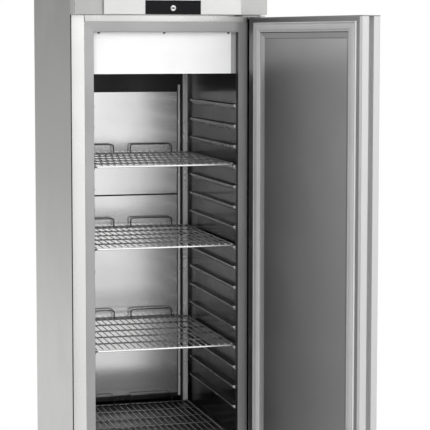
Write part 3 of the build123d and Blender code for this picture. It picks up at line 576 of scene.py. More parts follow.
def use(piece):
    """Make one piece the only selected and active one."""
    bpy.ops.object.select_all(action="DESELECT")
    piece.select_set(True)
    bpy.context.view_layer.objects.active = piece
    return piece


def fresh(kind, **place):
    """Add a primitive with its place in its mesh."""
    bpy.ops.object.select_all(action="DESELECT")
    getattr(bpy.ops.mesh, f"primitive_{kind}_add")(**place)
    bpy.ops.object.transform_apply(location=True, rotation=True, scale=True)
    return bpy.context.object


def drawn(points, runs):
    """A new object of points and the lines between them."""
    mesh = bpy.data.meshes.new("Lines")
    mesh.from_pydata(points, runs, [])
    piece = bpy.data.objects.new("Lines", mesh)
    bpy.context.scene.collection.objects.link(piece)
    return use(piece)


def block(low, high):
    low, high = Vector(low), Vector(high)
    return fresh("cube", size=1.0, location=(low + high) / 2, scale=high - low)


def rod(start, end, radius, sides):
    start, end = Vector(start), Vector(end)
    along = end - start
    turn = along.to_track_quat("Z", "Y").to_euler()
    return fresh(
        "cylinder", vertices=sides, radius=radius, depth=along.length, location=(start + end) / 2, rotation=turn
    )


def edit_all(piece):
    """Go into edit mode with everything selected."""
    use(piece)
    bpy.ops.object.mode_set(mode="EDIT")
    bpy.ops.mesh.select_all(action="SELECT")


def pick(piece, kind, test=lambda part: True):
    """In edit mode, select only the points, edges or faces that pass the test."""
    if bpy.context.mode != "EDIT_MESH":
        edit_all(piece)
    bpy.ops.mesh.select_mode(type=kind)
    bpy.ops.mesh.select_all(action="DESELECT")
    mesh = bmesh.from_edit_mesh(piece.data)
    for part in {"VERT": mesh.verts, "EDGE": mesh.edges, "FACE": mesh.faces}[kind]:
        if test(part):
            part.select_set(True)
    mesh.select_flush_mode()
    bmesh.update_edit_mesh(piece.data)


def done():
    bpy.ops.object.mode_set(mode="OBJECT")


def smooth(piece, degrees):
    """Smooth shading, except over edges sharper than an angle."""
    use(piece)
    bpy.ops.object.shade_smooth_by_angle(angle=math.radians(degrees))
    return piece


def modify(piece, kind, **values):
    """Add a modifier and apply it."""
    use(piece)
    modifier = piece.modifiers.new(kind.title(), kind)
    for key, value in values.items():
        setattr(modifier, key, value)
    bpy.ops.object.modifier_apply(modifier=modifier.name)


def soften(piece, width, segments=2, angle=30.0):
    """Round the sharp edges, and keep flat faces flat in their shading."""
    use(piece)
    bpy.ops.object.shade_smooth()
    modify(
        piece, "BEVEL", width=width, segments=segments, limit_method="ANGLE", angle_limit=math.radians(angle),
        harden_normals=True,
    )
    return piece


def clean(piece, merge=True):
    """Merge doubles and turn every face outwards."""
    edit_all(piece)
    if merge:
        bpy.ops.mesh.remove_doubles(threshold=DOUBLES)
    bpy.ops.mesh.normals_make_consistent(inside=False)
    done()


def copy_of(piece, shift=(0.0, 0.0, 0.0), matrix=None):
    """A copy with its own mesh, moved or turned in the mesh."""
    twin = piece.copy()
    twin.data = piece.data.copy()
    bpy.context.scene.collection.objects.link(twin)
    twin.data.transform(matrix or Matrix.Translation(shift))
    return twin


def mirrored(piece):
    twin = copy_of(piece, matrix=Matrix.Scale(-1.0, 4, (1.0, 0.0, 0.0)))
    twin.data.flip_normals()
    return twin


def put_at(piece, place, towards):
    """Move a piece made at the origin to a place, with its Z axis towards a direction."""
    turn = Vector(towards).to_track_quat("Z", "Y").to_matrix().to_4x4()
    piece.data.transform(Matrix.Translation(place) @ turn)
    return piece


def join(parts):
    use(parts[0])
    for part in parts:
        part.select_set(True)
    bpy.ops.object.join()
    return bpy.context.object


def complete(piece, name, slot, body, *nodes, finish=None):
    """Name a piece, finish it, and let it ride on its body in place of CAD nodes."""
    piece.name = name
    piece.data.name = name
    piece.data.materials.clear()
    piece.data.materials.append(finish_of[finish or slot])
    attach(piece, body)
    if nodes:
        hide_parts(*nodes)
    return piece


def refinish(piece, finish, test):
    """Give another finish to the faces that pass the test."""
    piece.data.materials.append(finish_of[finish])
    for face in piece.data.polygons:
        if test(face):
            face.material_index = len(piece.data.materials) - 1


def thin_line(name, low, high, rounding, slot="seal_grey", finish="guide_black", segments=1, both_sides=False):
    """A thin strip of the cabinet between two corners: a trim, a tape, a black strip of painted shadow in a joint."""
    line = soften(block(low, high), rounding, segments)
    if both_sides:
        line = join([mirrored(line), line])
    return complete(line, name, slot, "cabinet", finish=finish)


def formed(node, rounding=None, corners=None, corner_round=None, finish=None):
    """A merged copy of a CAD node with rounded edges that stands for it."""
    shape = bpy.context.scene.refrigerator_shape
    piece = bpy.data.objects.new(f"{node}_copy", cad[node].data.copy())
    bpy.context.scene.collection.objects.link(piece)
    use(piece)
    bpy.ops.mesh.customdata_custom_splitnormals_clear()
    edit_all(piece)
    bpy.ops.mesh.remove_doubles(threshold=DOUBLES)
    bpy.ops.mesh.dissolve_limited(angle_limit=math.radians(1.0))
    if corners:
        pick(piece, "EDGE", corners)
        bpy.ops.mesh.bevel(offset=corner_round or shape.corner_round, segments=5, affect="EDGES")
    done()
    soften(piece, rounding or shape.sheet_round)
    return complete(piece, f"{node}_piece", slot_of[node], body_of[node], node, finish=finish)


def mitred_ring(half_x, low_z, high_z, profile):
    """Four mitred lengths round an opening. Each profile point is (outside X, outside Z, Y)."""
    centre_z = (low_z + high_z) / 2
    half_z = (high_z - low_z) / 2
    dx, dz, y = profile[0]
    ring = fresh("plane", size=2.0, location=(0.0, y, centre_z), rotation=(math.pi / 2, 0.0, 0.0))
    pick(ring, "FACE")
    bpy.ops.transform.resize(value=(half_x + dx, 1.0, half_z + dz), center_override=(0.0, y, centre_z))
    bpy.ops.mesh.delete(type="ONLY_FACE")
    bpy.ops.mesh.select_mode(type="EDGE")
    bpy.ops.mesh.select_all(action="SELECT")
    for (dx0, dz0, y0), (dx1, dz1, y1) in zip(profile, profile[1:]):
        bpy.ops.mesh.extrude_edges_move(TRANSFORM_OT_translate={"value": (0.0, y1 - y0, 0.0)})
        bpy.ops.transform.resize(
            value=((half_x + dx1) / (half_x + dx0), 1.0, (half_z + dz1) / (half_z + dz0)),
            center_override=(0.0, y1, centre_z),
        )
    bpy.ops.mesh.select_all(action="SELECT")
    bpy.ops.mesh.normals_make_consistent(inside=False)

    def at_corner(edge):
        first, last = (corner.co for corner in edge.verts)
        return first.x * last.x > 0 and (first.z - centre_z) * (last.z - centre_z) > 0

    pick(ring, "EDGE", at_corner)
    bpy.ops.mesh.edge_split(type="EDGE")
    done()
    return ring


def turned(profile, place=(0.0, 0.0, 0.0), towards=UPWARD, sides=48):
    """A shape turned round a line from a place. The profile gives (radius, height) pairs, and a zero closes it."""
    points = [(radius, 0.0, height) for radius, height in profile]
    piece = drawn(points, [(i, i + 1) for i in range(len(points) - 1)])
    edit_all(piece)
    bpy.ops.mesh.spin(steps=sides, angle=2.0 * math.pi, center=(0.0, 0.0, 0.0), axis=UPWARD)
    done()
    clean(piece)
    return put_at(smooth(piece, 40.0), place, towards)


def cut(piece, tools):
    """Cut tools out of a piece, and shade it by its edges."""
    for tool in tools:
        modify(piece, "BOOLEAN", operation="DIFFERENCE", object=tool, solver="EXACT")
        bpy.data.objects.remove(tool)
    return smooth(piece, 35.0)


def screw(place, towards, radius, height, shank=0.0, shank_radius=0.002):
    """A domed screw with a cross recess. Its head stands on the place, and the shank goes the other way."""
    rim_to_top = ((0.96, 0.3), (0.78, 0.68), (0.45, 0.94), (0.0, 1.0))
    dome = [(radius * out, height * up) for out, up in rim_to_top]
    if shank:
        profile = [(0.0, -shank), (shank_radius, -shank), (shank_radius, 0.0), (radius, 0.0)] + dome
    else:
        profile = [(0.0, 0.0), (radius, 0.0)] + dome
    reach, slot = radius * 0.55, radius * 0.13
    floor, above = height * 0.45, height * 2
    head = cut(turned(profile, sides=20), [
        block((-reach, -slot, floor), (reach, slot, above)),
        block((-slot, -reach, floor), (slot, reach, above)),
    ])
    return put_at(head, place, towards)


def bent_wire(points, radius, bend, closed, sides):
    """A round wire along straight runs with bent corners, as a mesh."""
    count = len(points)
    wire = drawn(points, [(i, (i + 1) % count) for i in range(count if closed else count - 1)])
    pick(wire, "VERT", lambda point: len(point.link_edges) == 2)
    bpy.ops.mesh.bevel(offset=bend, segments=6, affect="VERTICES")
    done()
    bpy.ops.object.convert(target="CURVE")
    wire = bpy.context.object
    wire.data.bevel_depth = radius
    wire.data.bevel_resolution = sides // 4
    wire.data.use_fill_caps = not closed
    bpy.ops.object.convert(target="MESH")
    wire = bpy.context.object
    clean(wire)
    return smooth(wire, 50.0)


def along_z_at(x, y, reach=0.0002):
    """A test for upright edges near a place, on either side."""

    def test(edge):
        first, last = (corner.co for corner in edge.verts)
        near = all(abs(abs(corner.x) - abs(x)) < reach and abs(corner.y - y) < reach for corner in (first, last))
        return near and abs(first.z - last.z) > 0.01

    return test


# Pieces


def lay_finish():
    """Give every CAD node the finish of its slot."""
    for node, piece in cad.items():
        piece.data.materials.clear()
        piece.data.materials.append(finish_of[slot_of[node]])


def form_stiles():
    """Stiles with eased corners, set in from the sides, and black strips of painted shadow in the joints beside them
    and the rails.
    """
    low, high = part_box("right_stile")
    outer, inner = along_z_at(high.x, low.y), along_z_at(low.x, low.y)
    set_in = 0.003
    for side in ("left", "right"):
        stile = formed(
            f"{side}_stile", rounding=0.0003, corners=lambda edge: outer(edge) or inner(edge), corner_round=0.0007
        )
        for corner in stile.data.vertices:
            if abs(corner.co.x) > high.x - set_in:
                corner.co.x -= math.copysign(set_in, corner.co.x)
        if side == "right":
            # The right stile's front gets the painted shade behind the door's hinged edge
            refinish(stile, "hinge_side_painted_shade", lambda face: face.normal.y < -0.95)
    side_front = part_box("left_side_panel")[0].y
    # Black strips of painted shadow in the gaps beside the stiles and at the rails' ends
    thin_line(
        "stile_edge_shadow_strips", (high.x - set_in - 0.0001, low.y + 0.0007, low.z + 0.001),
        (high.x - 0.0002, side_front, high.z - 0.001), 0.0002, both_sides=True,
    )
    half, rail_top = 0.0009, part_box("front_rails")[1].z
    thin_line(
        "rail_end_shadow_strips", (low.x - half, low.y - 0.0001, strip_high.z), (low.x + half, low.y + 0.0006, rail_top),
        0.00008, both_sides=True,
    )


def form_shell():
    """Sheets of the cabinet's outside."""
    for node in ("left_side_panel", "right_side_panel"):
        formed(node, finish="side_steel")
    for node in ("back_panel", "top_cover", "deck_plates", "front_grille", "rear_grille", "legs"):
        formed(node)
    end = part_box("front_rails")[1].x - 0.0005
    formed(
        "front_rails", corners=lambda edge: all(abs(corner.co.x) > end for corner in edge.verts), corner_round=0.0009
    )
    form_stiles()


def form_fascia():
    """Fascia housing, control panel and display window."""
    for node in ("fascia_housing", "control_panel"):
        low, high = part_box(node)
        formed(node, rounding=0.0005, corners=along_z_at(high.x, low.y))
    formed("display_window", rounding=0.0004)


def form_interior():
    """Duct, posts, cover and boxes behind the opening and in the base."""
    build_cover_trims()
    for node in ("duct_panel_upper", "duct_panel_lower"):
        formed(node, finish="duct_steel")
    for node in ("rear_posts", "duct_side_strips"):
        formed(node, finish="post_steel")
    upper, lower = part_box("duct_panel_upper"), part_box("duct_panel_lower")
    face, lap = upper[0].y, 0.0012
    # A black strip of painted shadow in the seam between the duct panels
    thin_line(
        "duct_seam_shadow_strip", (upper[0].x + 0.001, face - 0.0002, lower[1].z - lap),
        (upper[1].x - 0.001, face + 0.0009, upper[0].z + lap), 0.0001, slot="guide_black",
    )
    # The floor liner is near black, a painted shade under the bottom shelf
    formed("floor_liner", finish="black_painted_shade")
    rounding = {"evaporator_cover": 0.0009, "electronics_box": 0.001, "evaporation_tray": 0.0007, "mains_inlet": 0.0006}
    for node, radius in rounding.items():
        formed(node, radius)


def build_seal_strip():
    """Grey strip round the opening: its face, its return and its rear edge, mitred at the corners. Its returns carry a
    near-black painted shade.
    """
    front, rear = strip_low.y, strip_high.y
    side = strip_high.x - opening_x
    lip, ease, lap, sheet = 0.0012, 0.0004, 0.0078, 0.0012
    profile = [
        (side, STRIP_FACE, front + 0.0018), (side, STRIP_FACE, front + ease), (side - ease, STRIP_FACE - ease, front),
        (lip + 0.003, lip + 0.003, front), (lip, lip, front + 0.0003), (0.0003, 0.0003, front + lip),
        (0.0, 0.0, front + lip + 0.003), (0.0, 0.0, rear - 0.0006), (0.0006, 0.0006, rear), (lap, lap, rear),
    ]
    ring = mitred_ring(opening_x, opening_foot, opening_head, profile)
    modify(ring, "SOLIDIFY", thickness=sheet, offset=-1.0)
    smooth(ring, 35.0)
    complete(ring, "seal_strip_lengths", "seal_grey", "cabinet", "seal_frame")

    def return_in_painted_shade(face):
        inside = face.center.y > front + lip + 0.001 and abs(face.center.x) < opening_x + 0.001
        return abs(face.normal.x) > 0.7 and inside

    # The strip's returns into the opening are near black, a painted shade
    refinish(ring, "guide_black", return_in_painted_shade)


def build_ledges():
    """Pressed ledges with rounded fronts, modelled once on the right and copied down both walls, with painted light on
    them and painted shade on their tops.
    """
    shape = bpy.context.scene.refrigerator_shape
    low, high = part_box("right_shelf_ledges")
    pitch, height, inner_height = 0.0631, 0.017, 0.004
    count = round((high.z - height - low.z) / pitch) + 1
    ledge = block((low.x, low.y, high.z - height), high)
    pick(ledge, "VERT", lambda point: point.co.x < low.x + 0.001 and point.co.z < high.z - 0.001)
    bpy.ops.transform.translate(value=(0.0, 0.0, height - inner_height))

    def inner_end(edge):
        first, last = (corner.co for corner in edge.verts)
        return max(first.x, last.x) < low.x + 0.001 and abs(first.y - last.y) < 0.001

    def free_edge(edge):
        free = all(corner.co.x < high.x - 0.0005 for corner in edge.verts) and len(edge.link_faces) == 2
        return free and edge.calc_face_angle() > math.radians(25.0)

    pick(ledge, "EDGE", inner_end)
    bpy.ops.mesh.bevel(offset=shape.ledge_nose, segments=6, affect="EDGES")
    pick(ledge, "EDGE", free_edge)
    bpy.ops.mesh.bevel(offset=shape.ledge_round, segments=4, affect="EDGES", clamp_overlap=True)
    done()
    smooth(ledge, 40.0)
    right = join([ledge] + [copy_of(ledge, (0.0, 0.0, -pitch * i)) for i in range(1, count)])
    # The ledges are lighter than the liner they are pressed from, a painted light, and their tops near black, a painted
    # shade
    for side, wall in (("right", right), ("left", mirrored(right))):
        complete(
            wall, f"{side}_pressed_ledges", "liner_steel", "cabinet", f"{side}_shelf_ledges", finish="ledge_painted_light"
        )
        refinish(wall, "black_painted_shade", lambda face: face.normal.z > 0.3 and face.normal.y > -0.5)


def build_cover_trims():
    """Trims that close the gaps between the evaporator cover and the walls, and the fascia's tape. The right trim is
    grey, a painted shade of the cover's white, and the tape stands in for the shade of the gap under the fascia.
    """
    cover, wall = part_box("evaporator_cover"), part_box("right_liner")[0].x - 0.0002
    rear = cover[0].y + 0.0200
    trim = block((cover[1].x, cover[0].y + 0.0010, cover[0].z), (wall, rear, opening_head))
    pick(trim, "FACE", lambda face: face.normal.y < -0.9)
    bpy.ops.mesh.inset(thickness=0.0025)
    bpy.ops.transform.translate(value=(0.0, 0.0012, 0.0))
    done()
    # Grey, a painted shade of the cover's white
    complete(soften(trim, 0.0007), "cover_right_trim", "cover_white", "cabinet", finish="grey_painted_shade")
    thin_line(
        "cover_left_trim", (-wall, cover[0].y, cover[0].z), (cover[0].x, rear, opening_head), 0.0003,
        slot="cover_white", finish=None, segments=2,
    )
    fascia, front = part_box("fascia_housing")[0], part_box("right_stile")[0].y
    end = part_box("hinge_brackets")[0].x - 0.001
    # A tape under the fascia, grey to stand in for the shade in the gap there, a painted shade
    thin_line(
        "fascia_tape_painted_shade", (fascia.x + 0.001, front - 0.0035, fascia.z - 0.0018), (end, front, fascia.z), 0.0006,
        finish="grey_painted_shade", segments=2,
    )


def build_lock():
    """Lock ring with a rolled rim, plug with an oval keyhole closed inside by a black block of painted shade, and the
    cam.
    """
    low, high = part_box("lock_barrel")
    centre = (low + high) / 2
    depth, bore, barrel, flange = high.y - low.y, 0.00605, 0.0080, 0.00875
    section = [
        (bore, 0.0), (0.0063, 0.0003), (0.0072, 0.0006), (0.0081, 0.0003), (flange, -0.0006), (flange, -0.0015),
        (barrel, -0.0015), (barrel, -depth), (bore, -depth), (bore, 0.0),
    ]
    rim = 0.0003
    ring = turned([(radius, height - rim) for radius, height in section], (centre.x, low.y, centre.z), FORWARD)
    complete(ring, "lock_ring", "lock_nickel", "cabinet", "lock_barrel")
    front, back = (corner.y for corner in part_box("lock_plug"))
    length, radius = back - front, 0.0060
    plug = turned(
        [(0.0, 0.0), (0.0052, 0.0), (0.0059, -0.0005), (radius, -0.0012), (radius, -length), (0.0, -length)],
        (centre.x, front, centre.z), FORWARD,
    )

    def oval(start, end, half_width):
        """A bar with the keyhole's flattened section, from one depth in the plug to another."""
        bar = rod((centre.x, front + start, centre.z), (centre.x, front + end, centre.z), half_width, 32)
        pick(bar, "VERT")
        bpy.ops.transform.resize(value=(1.0, 1.0, 0.58), center_override=tuple(centre))
        done()
        return bar

    cut(plug, [oval(-0.001, 0.008, 0.0048)])
    complete(plug, "lock_plug_with_keyhole", "plug_dark", "lock", "lock_plug")
    # A black block inside the keyhole, a painted shade of its depth
    keyhole_shade_block = soften(oval(0.0006, 0.0030, 0.0047), 0.0002, 1)
    complete(keyhole_shade_block, "lock_keyhole_painted_shade", "plug_dark", "lock", finish="guide_black")
    formed("lock_cam", 0.0005)


def build_screws():
    """Cross-recessed screws: inside, on the hinge brackets and round the back."""
    cover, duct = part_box("evaporator_cover"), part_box("duct_panel_upper")
    reach, side = cover[1].x - 0.009, duct[1].x - 0.0035
    cover_z, duct_z = opening_head - 0.001, duct[0].z + 0.0245
    inside = [screw((x, cover[0].y, cover_z), FORWARD, 0.0045, 0.0025, 0.010) for x in (-reach, 0.0, reach)]
    inside += [screw((x, duct[0].y, duct_z), FORWARD, 0.002, 0.0011, 0.006, 0.001) for x in (-side, side)]
    complete(join(inside), "cross_screws_inside", "screw_steel", "cabinet", "interior_screws")
    low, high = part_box("hinge_brackets")
    plate_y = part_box("right_stile")[0].y - 0.003
    hinge_screws = [
        screw((x, plate_y, z), FORWARD, 0.005, 0.0026)
        for z in (high.z - 0.010, low.z + 0.010) for x in (low.x + 0.016, high.x - 0.020)
    ]
    complete(join(hinge_screws), "hinge_screws", "screw_steel", "cabinet")
    low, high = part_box("back_panel")
    edge, margin, rows = high.x - 0.012, 0.02, 5
    step = (high.z - low.z - 2 * margin) / (rows - 1)
    places = [(x, low.z + margin + i * step) for i in range(rows) for x in (-edge, edge)]
    places += [(0.0, high.z - margin), (0.0, low.z + margin)]
    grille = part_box("rear_grille")
    places += [(x, z) for z in (grille[0].z + margin, grille[1].z - margin) for x in (-edge, edge, 0.0)]
    first = screw((0.0, high.y, 0.0), BACKWARD, 0.004, 0.002)
    rear = [copy_of(first, (x, 0.0, z)) for x, z in places]
    bpy.data.objects.remove(first)
    complete(join(rear), "rear_screws", "screw_steel", "cabinet")


def build_hinges():
    """Brackets with eased corners, pins with domed ends, and bushes."""
    low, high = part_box("hinge_brackets")
    front_corner = along_z_at(low.x, low.y)

    def plate_corner(edge):
        first, last = (corner.co for corner in edge.verts)
        upright = abs(first.x - last.x) < 0.0001 and abs(first.y - last.y) < 0.0001
        return upright and abs(first.y - low.y) < 0.0002 and abs(first.z - last.z) > 0.002

    formed("hinge_brackets", 0.0004, lambda edge: plate_corner(edge) or front_corner(edge), 0.008)
    low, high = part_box("hinge_pins")
    length, radius = 0.0275, 0.0050
    profile = [
        (0.0, 0.0), (0.0035, -0.0002), (0.0048, -0.0009), (radius, -0.0016), (radius, -length + 0.001),
        (0.0042, -length), (0.0, -length),
    ]
    ends = ((high.z, 1.0), (low.z, -1.0))
    pins = [turned(profile, (hinge_at.x, hinge_at.y, z), (0.0, 0.0, away), 32) for z, away in ends]
    complete(join(pins), "turned_hinge_pins", "hinge_steel", body_of["hinge_pins"], "hinge_pins")
    formed("hinge_bushes", 0.0004)


def build_feet():
    """Levelling foot: pad with a rolled rim, hexagon collar and threaded stud, copied to each leg."""
    names = [f"foot_{end}_{side}" for end in ("front", "rear") for side in ("left", "right")]
    low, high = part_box(names[0])
    centre = (low + high) / 2
    place = (centre.x, centre.y, 0.0)
    pad_top, collar_high, collar_top = 0.0100, 0.0199, 0.0299
    pad = turned([
        (0.0, 0.0), (0.0235, 0.0), (0.025, 0.0015), (0.025, 0.0062), (0.0242, 0.0078), (0.0200, 0.0092),
        (0.0150, pad_top), (0.0, pad_top),
    ], place)
    collar = fresh(
        "cylinder", vertices=6, radius=0.017, depth=collar_high,
        location=(centre.x, centre.y, collar_top - collar_high / 2),
    )
    soften(collar, 0.0010)
    root, crest, pitch = 0.0055, 0.0060, 0.0015
    thread = [(0.0, collar_top), (root, collar_top)]
    height = collar_top
    while height + pitch < high.z - 0.001:
        thread += [(crest, height + 0.0006), (crest, height + 0.0008), (root, height + 0.0014)]
        height += pitch
    stud = turned(thread + [(0.0050, high.z), (0.0, high.z)], place, sides=20)
    foot = join([pad, collar, stud])
    for name in names:
        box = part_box(name)
        shift = (box[0] + box[1]) / 2 - centre
        twin = copy_of(foot, (shift.x, shift.y, 0.0))
        complete(twin, f"{name}_turned", "foot_plastic", body_of[name], name)
    bpy.data.objects.remove(foot)


def build_fan(node, name, tip, place, towards):
    """Fan rotor with five twisted blades on a capped hub."""
    hub, shaft, cap_high, shaft_end, blade_z = 0.022, 0.003, 0.021, 0.047, 0.0125
    parts = [turned([
        (0.0, 0.0), (hub * 0.80, 0.0), (hub * 0.95, 0.001), (hub, 0.003), (hub, cap_high), (shaft, cap_high),
        (shaft, shaft_end), (0.0, shaft_end),
    ], (0.0, 0.0, 0.002), sides=36)]
    root, chord, count = hub * 0.9, 0.034, 5
    span, limit = tip - root, tip - 0.0005
    centre = (root + span / 2, 0.0, blade_z)
    blade = fresh("grid", x_subdivisions=10, y_subdivisions=8, size=1.0, location=centre)
    pick(blade, "VERT")
    bpy.ops.transform.resize(value=(span * 0.985, chord, 1.0), center_override=centre)
    done()
    for corner in blade.data.vertices:
        point = corner.co
        out = (point.x - root) / span
        twist = math.radians(38.0 - 16.0 * out)
        across = point.y * (0.75 + 0.55 * out)
        camber = 0.0018 * (1.0 - (point.y / (chord / 2)) ** 2)
        point.y = across * math.cos(twist) - camber * math.sin(twist)
        point.z = blade_z + across * math.sin(twist) * 0.85 + camber * math.cos(twist)
        far = math.hypot(point.x, point.y)
        if far > limit:
            point.x *= limit / far
            point.y *= limit / far
    modify(blade, "SOLIDIFY", thickness=0.0016, offset=0.0)
    soften(blade, 0.0004, 1)
    parts += [copy_of(blade, matrix=Matrix.Rotation(2.0 * math.pi * i / count, 4, "Z")) for i in range(count)]
    bpy.data.objects.remove(blade)
    complete(put_at(join(parts), place, towards), name, "blade_plastic", body_of[node], node)


def build_fans():
    """Evaporator fan on its frame's floor and condenser fan before its plate, each on the line of its joint."""
    cold, warm = (Vector(joints[f"{fan}_fan_spin"]["pos_m"]) for fan in ("evaporator", "condenser"))
    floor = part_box("evaporator_fan_frame")[0].z
    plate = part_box("condenser_fan_rotor")[0].y - 0.002
    build_fan("evaporator_fan_rotor", "evaporator_fan_blades", 0.073, (cold.x, cold.y, floor), UPWARD)
    build_fan("condenser_fan_rotor", "condenser_fan_blades", 0.088, (warm.x, plate, warm.z), BACKWARD)


def build_compressor():
    """Welded pot with its seam, on a foot plate with rubber mounts."""
    low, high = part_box("compressor")
    centre = (low + high) / 2
    radius = (high.x - low.x) / 2
    foot = low.z + 0.012
    tall = high.z - foot
    wall, seam, dome, steps = radius * 0.965, radius * 0.995, 0.046, 7
    profile = [(0.0, 0.0), (radius * 0.90, 0.0), (radius * 0.96, 0.006)]
    profile += [(wall, tall * 0.40), (seam, tall * 0.41), (seam, tall * 0.46), (wall, tall * 0.47), (wall, tall - dome)]
    for i in range(1, steps + 1):
        turn = math.radians(90.0 * i / steps)
        profile.append((wall - dome + dome * math.cos(turn), tall - dome + dome * math.sin(turn)))
    pot = turned(profile + [(0.0, tall)], (centre.x, centre.y, foot), sides=64)
    plate = soften(block((low.x, low.y, low.z + 0.006), (high.x, high.y, foot)), 0.003, 3)
    mount = [(0.0, 0.0), (0.012, 0.0), (0.013, 0.003), (0.010, 0.006), (0.006, 0.0062), (0.006, 0.014), (0.0, 0.015)]
    inset = 0.018
    mounts = [
        turned(mount, (x, y, low.z), sides=20)
        for x in (low.x + inset, high.x - inset) for y in (low.y + inset, high.y - inset)
    ]
    complete(join([pot, plate] + mounts), "compressor_pot", "motor_black", "cabinet", "compressor")


def form_door():
    """Door's sheets, end caps and grip, with the recess's bevels and the flange in finishes of their own: painted shade
    on the bevels and the flange, painted light on the bevel on the hinge side.
    """
    for node in ("door_skin", "door_end_caps"):
        formed(node)
    grip = formed("grip_profile")
    liner = smooth(formed("door_liner", finish="door_steel"), 8.0)
    closed = [door_closed @ corner.co for corner in liner.data.vertices]
    flange_y = max(place.y for place in closed)
    to_closed = door_closed.to_3x3()

    flat = 0.985

    def inwards(face):
        return (to_closed @ face.normal).y

    def on_bevel(face):
        return 0.80 < inwards(face) < flat and face.area > 0.001

    def on_side(face):
        return (to_closed @ face.normal).x < -0.1

    def on_flange(face):
        return inwards(face) > flat and (door_closed @ face.center).y > flange_y - 0.001

    # Painted shade on the bevels and the flange, painted light on the bevel on the hinge side
    refinish(liner, "bevel_painted_shade", lambda face: on_bevel(face) and not on_side(face))
    refinish(liner, "flange_painted_shade", on_flange)
    refinish(liner, "bevel_painted_light", lambda face: on_bevel(face) and on_side(face))
    inner_x = max((door_closed @ corner.co).x for corner in grip.data.vertices)
    foot, head = min(place.z for place in closed), max(place.z for place in closed)
    # A strip over the flange beside the grip, in the flange's painted shade
    lap = soften(block((inner_x - 0.008, flange_y, foot), (inner_x + 0.001, flange_y + 0.0004, head)), 0.0001, 1)
    lap.data.transform(door_turn)
    complete(lap, "flange_lap", "grip_aluminium", "door", finish="flange_painted_shade")


def build_gasket():
    """Magnetic gasket with a crowned chamber between two grooves and a painted highlight on its outer bead, on the
    closed door, then opened.
    """
    ridge = bpy.context.scene.refrigerator_shape.gasket_ridge
    wide, bead_start = 0.0285, 0.0277
    section = [
        (0.0, 0.0), (0.0, 0.5), (0.0006, 0.72), (0.0030, 0.80), (0.0040, 0.36), (0.0056, 0.36), (0.0068, 0.86),
        (0.0086, 1.0), (0.0200, 1.0), (0.0216, 0.88), (0.0226, 0.38), (0.0240, 0.38), (0.0250, 0.80),
        (0.0278, 0.84), (wide, 0.70), (wide, 0.0),
    ]
    widen = 0.035 / wide
    profile = [(out * widen, out, RECESS_Y + rise * ridge) for out, rise in section]
    ring = mitred_ring(recess_x, opening_foot, opening_head, profile)
    clean(ring, merge=False)
    smooth(ring, 50.0)
    ring.data.transform(door_turn)
    complete(ring, "door_gasket_lengths", "gasket_grey", "door", "door_gasket")
    bead_x = recess_x + bead_start * widen
    # The gasket's outer bead is lighter, a painted highlight
    refinish(ring, "gasket_painted_highlight", lambda face: abs((door_closed @ face.center).x) > bead_x)


def build_recess_lines():
    """Shadow gaps along the head and the foot of the recess's bevel, at its outer and its inner edge."""
    lines = []
    bevel, depth = 0.0180, 0.0050
    for inset, drop, wide in ((0.0, 0.0, 0.0022), (bevel, depth, 0.0012)):
        half, face = recess_x - inset - 0.0010, RECESS_Y - drop
        for edge, inwards in ((opening_head - inset, -wide), (opening_foot + inset, wide)):
            low_z, high_z = sorted((edge, edge + inwards))
            lines.append(block((-half, face - 0.0008, low_z), (half, face + 0.0004, high_z)))
    line = join(lines)
    line.data.transform(door_turn)
    complete(line, "recess_shadow_lines", "gasket_grey", "door", finish="guide_black")


def build_shelves():
    """Wire shelf with welded wires and two stop loops, modelled once and copied to each level."""
    sides = bpy.context.scene.refrigerator_shape.wire_sides
    low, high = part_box("wire_shelf_1")
    rim, bar_radius, wire_radius, loop_radius = 0.003, 0.0025, 0.0016, 0.00225
    left, right, front, back, foot = low.x + rim, high.x - rim, low.y + rim, high.y - rim, low.z + rim
    corners = [(left, front, foot), (right, front, foot), (right, back, foot), (left, back, foot)]
    parts = [bent_wire(corners, rim, 0.011, True, 12)]
    bar, bars, bar_pitch = rod((left, 0.0, 0.0), (right, 0.0, 0.0), bar_radius, sides), 4, 0.1106
    parts += [copy_of(bar, (0.0, back - i * bar_pitch, low.z + 0.0035)) for i in range(1, bars + 1)]
    wire = soften(rod((0.0, front - 0.001, 0.0), (0.0, back + 0.001, 0.0), wire_radius, sides), 0.0005, 1, 60.0)
    pitch = 0.0204
    count = int(2 * (right - rim - wire_radius) // pitch) + 1
    first_x = -(count - 1) * pitch / 2
    parts += [copy_of(wire, (first_x + i * pitch, 0.0, low.z + 0.0073)) for i in range(count)]
    for used in (bar, wire):
        bpy.data.objects.remove(used)
    y, head = back - rim - 0.0003 - loop_radius, low.z + 0.0354
    for x0, x1 in ((-0.185, -0.041), (0.0178, 0.1618)):
        points = [(x0, y, foot), (x0, y, head), (x1, y, head), (x1, y, foot)]
        parts.append(bent_wire(points, loop_radius, 0.009, False, sides))
    shelf = smooth(join(parts), 50.0)
    for i in range(1, 5):
        node = f"wire_shelf_{i}"
        twin = copy_of(shelf, (0.0, 0.0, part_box(node)[0].z - low.z))
        complete(twin, f"wire_grid_{i}", "wire_steel", f"shelf_{i}", node)
    bpy.data.objects.remove(shelf)


# Studio


def shader_mix(tree, factor, first, second):
    node = add(tree, "ShaderNodeMixShader")
    for socket, value in zip(node.inputs, (factor, first, second)):
        put(tree, socket, value)
    return node.outputs[0]


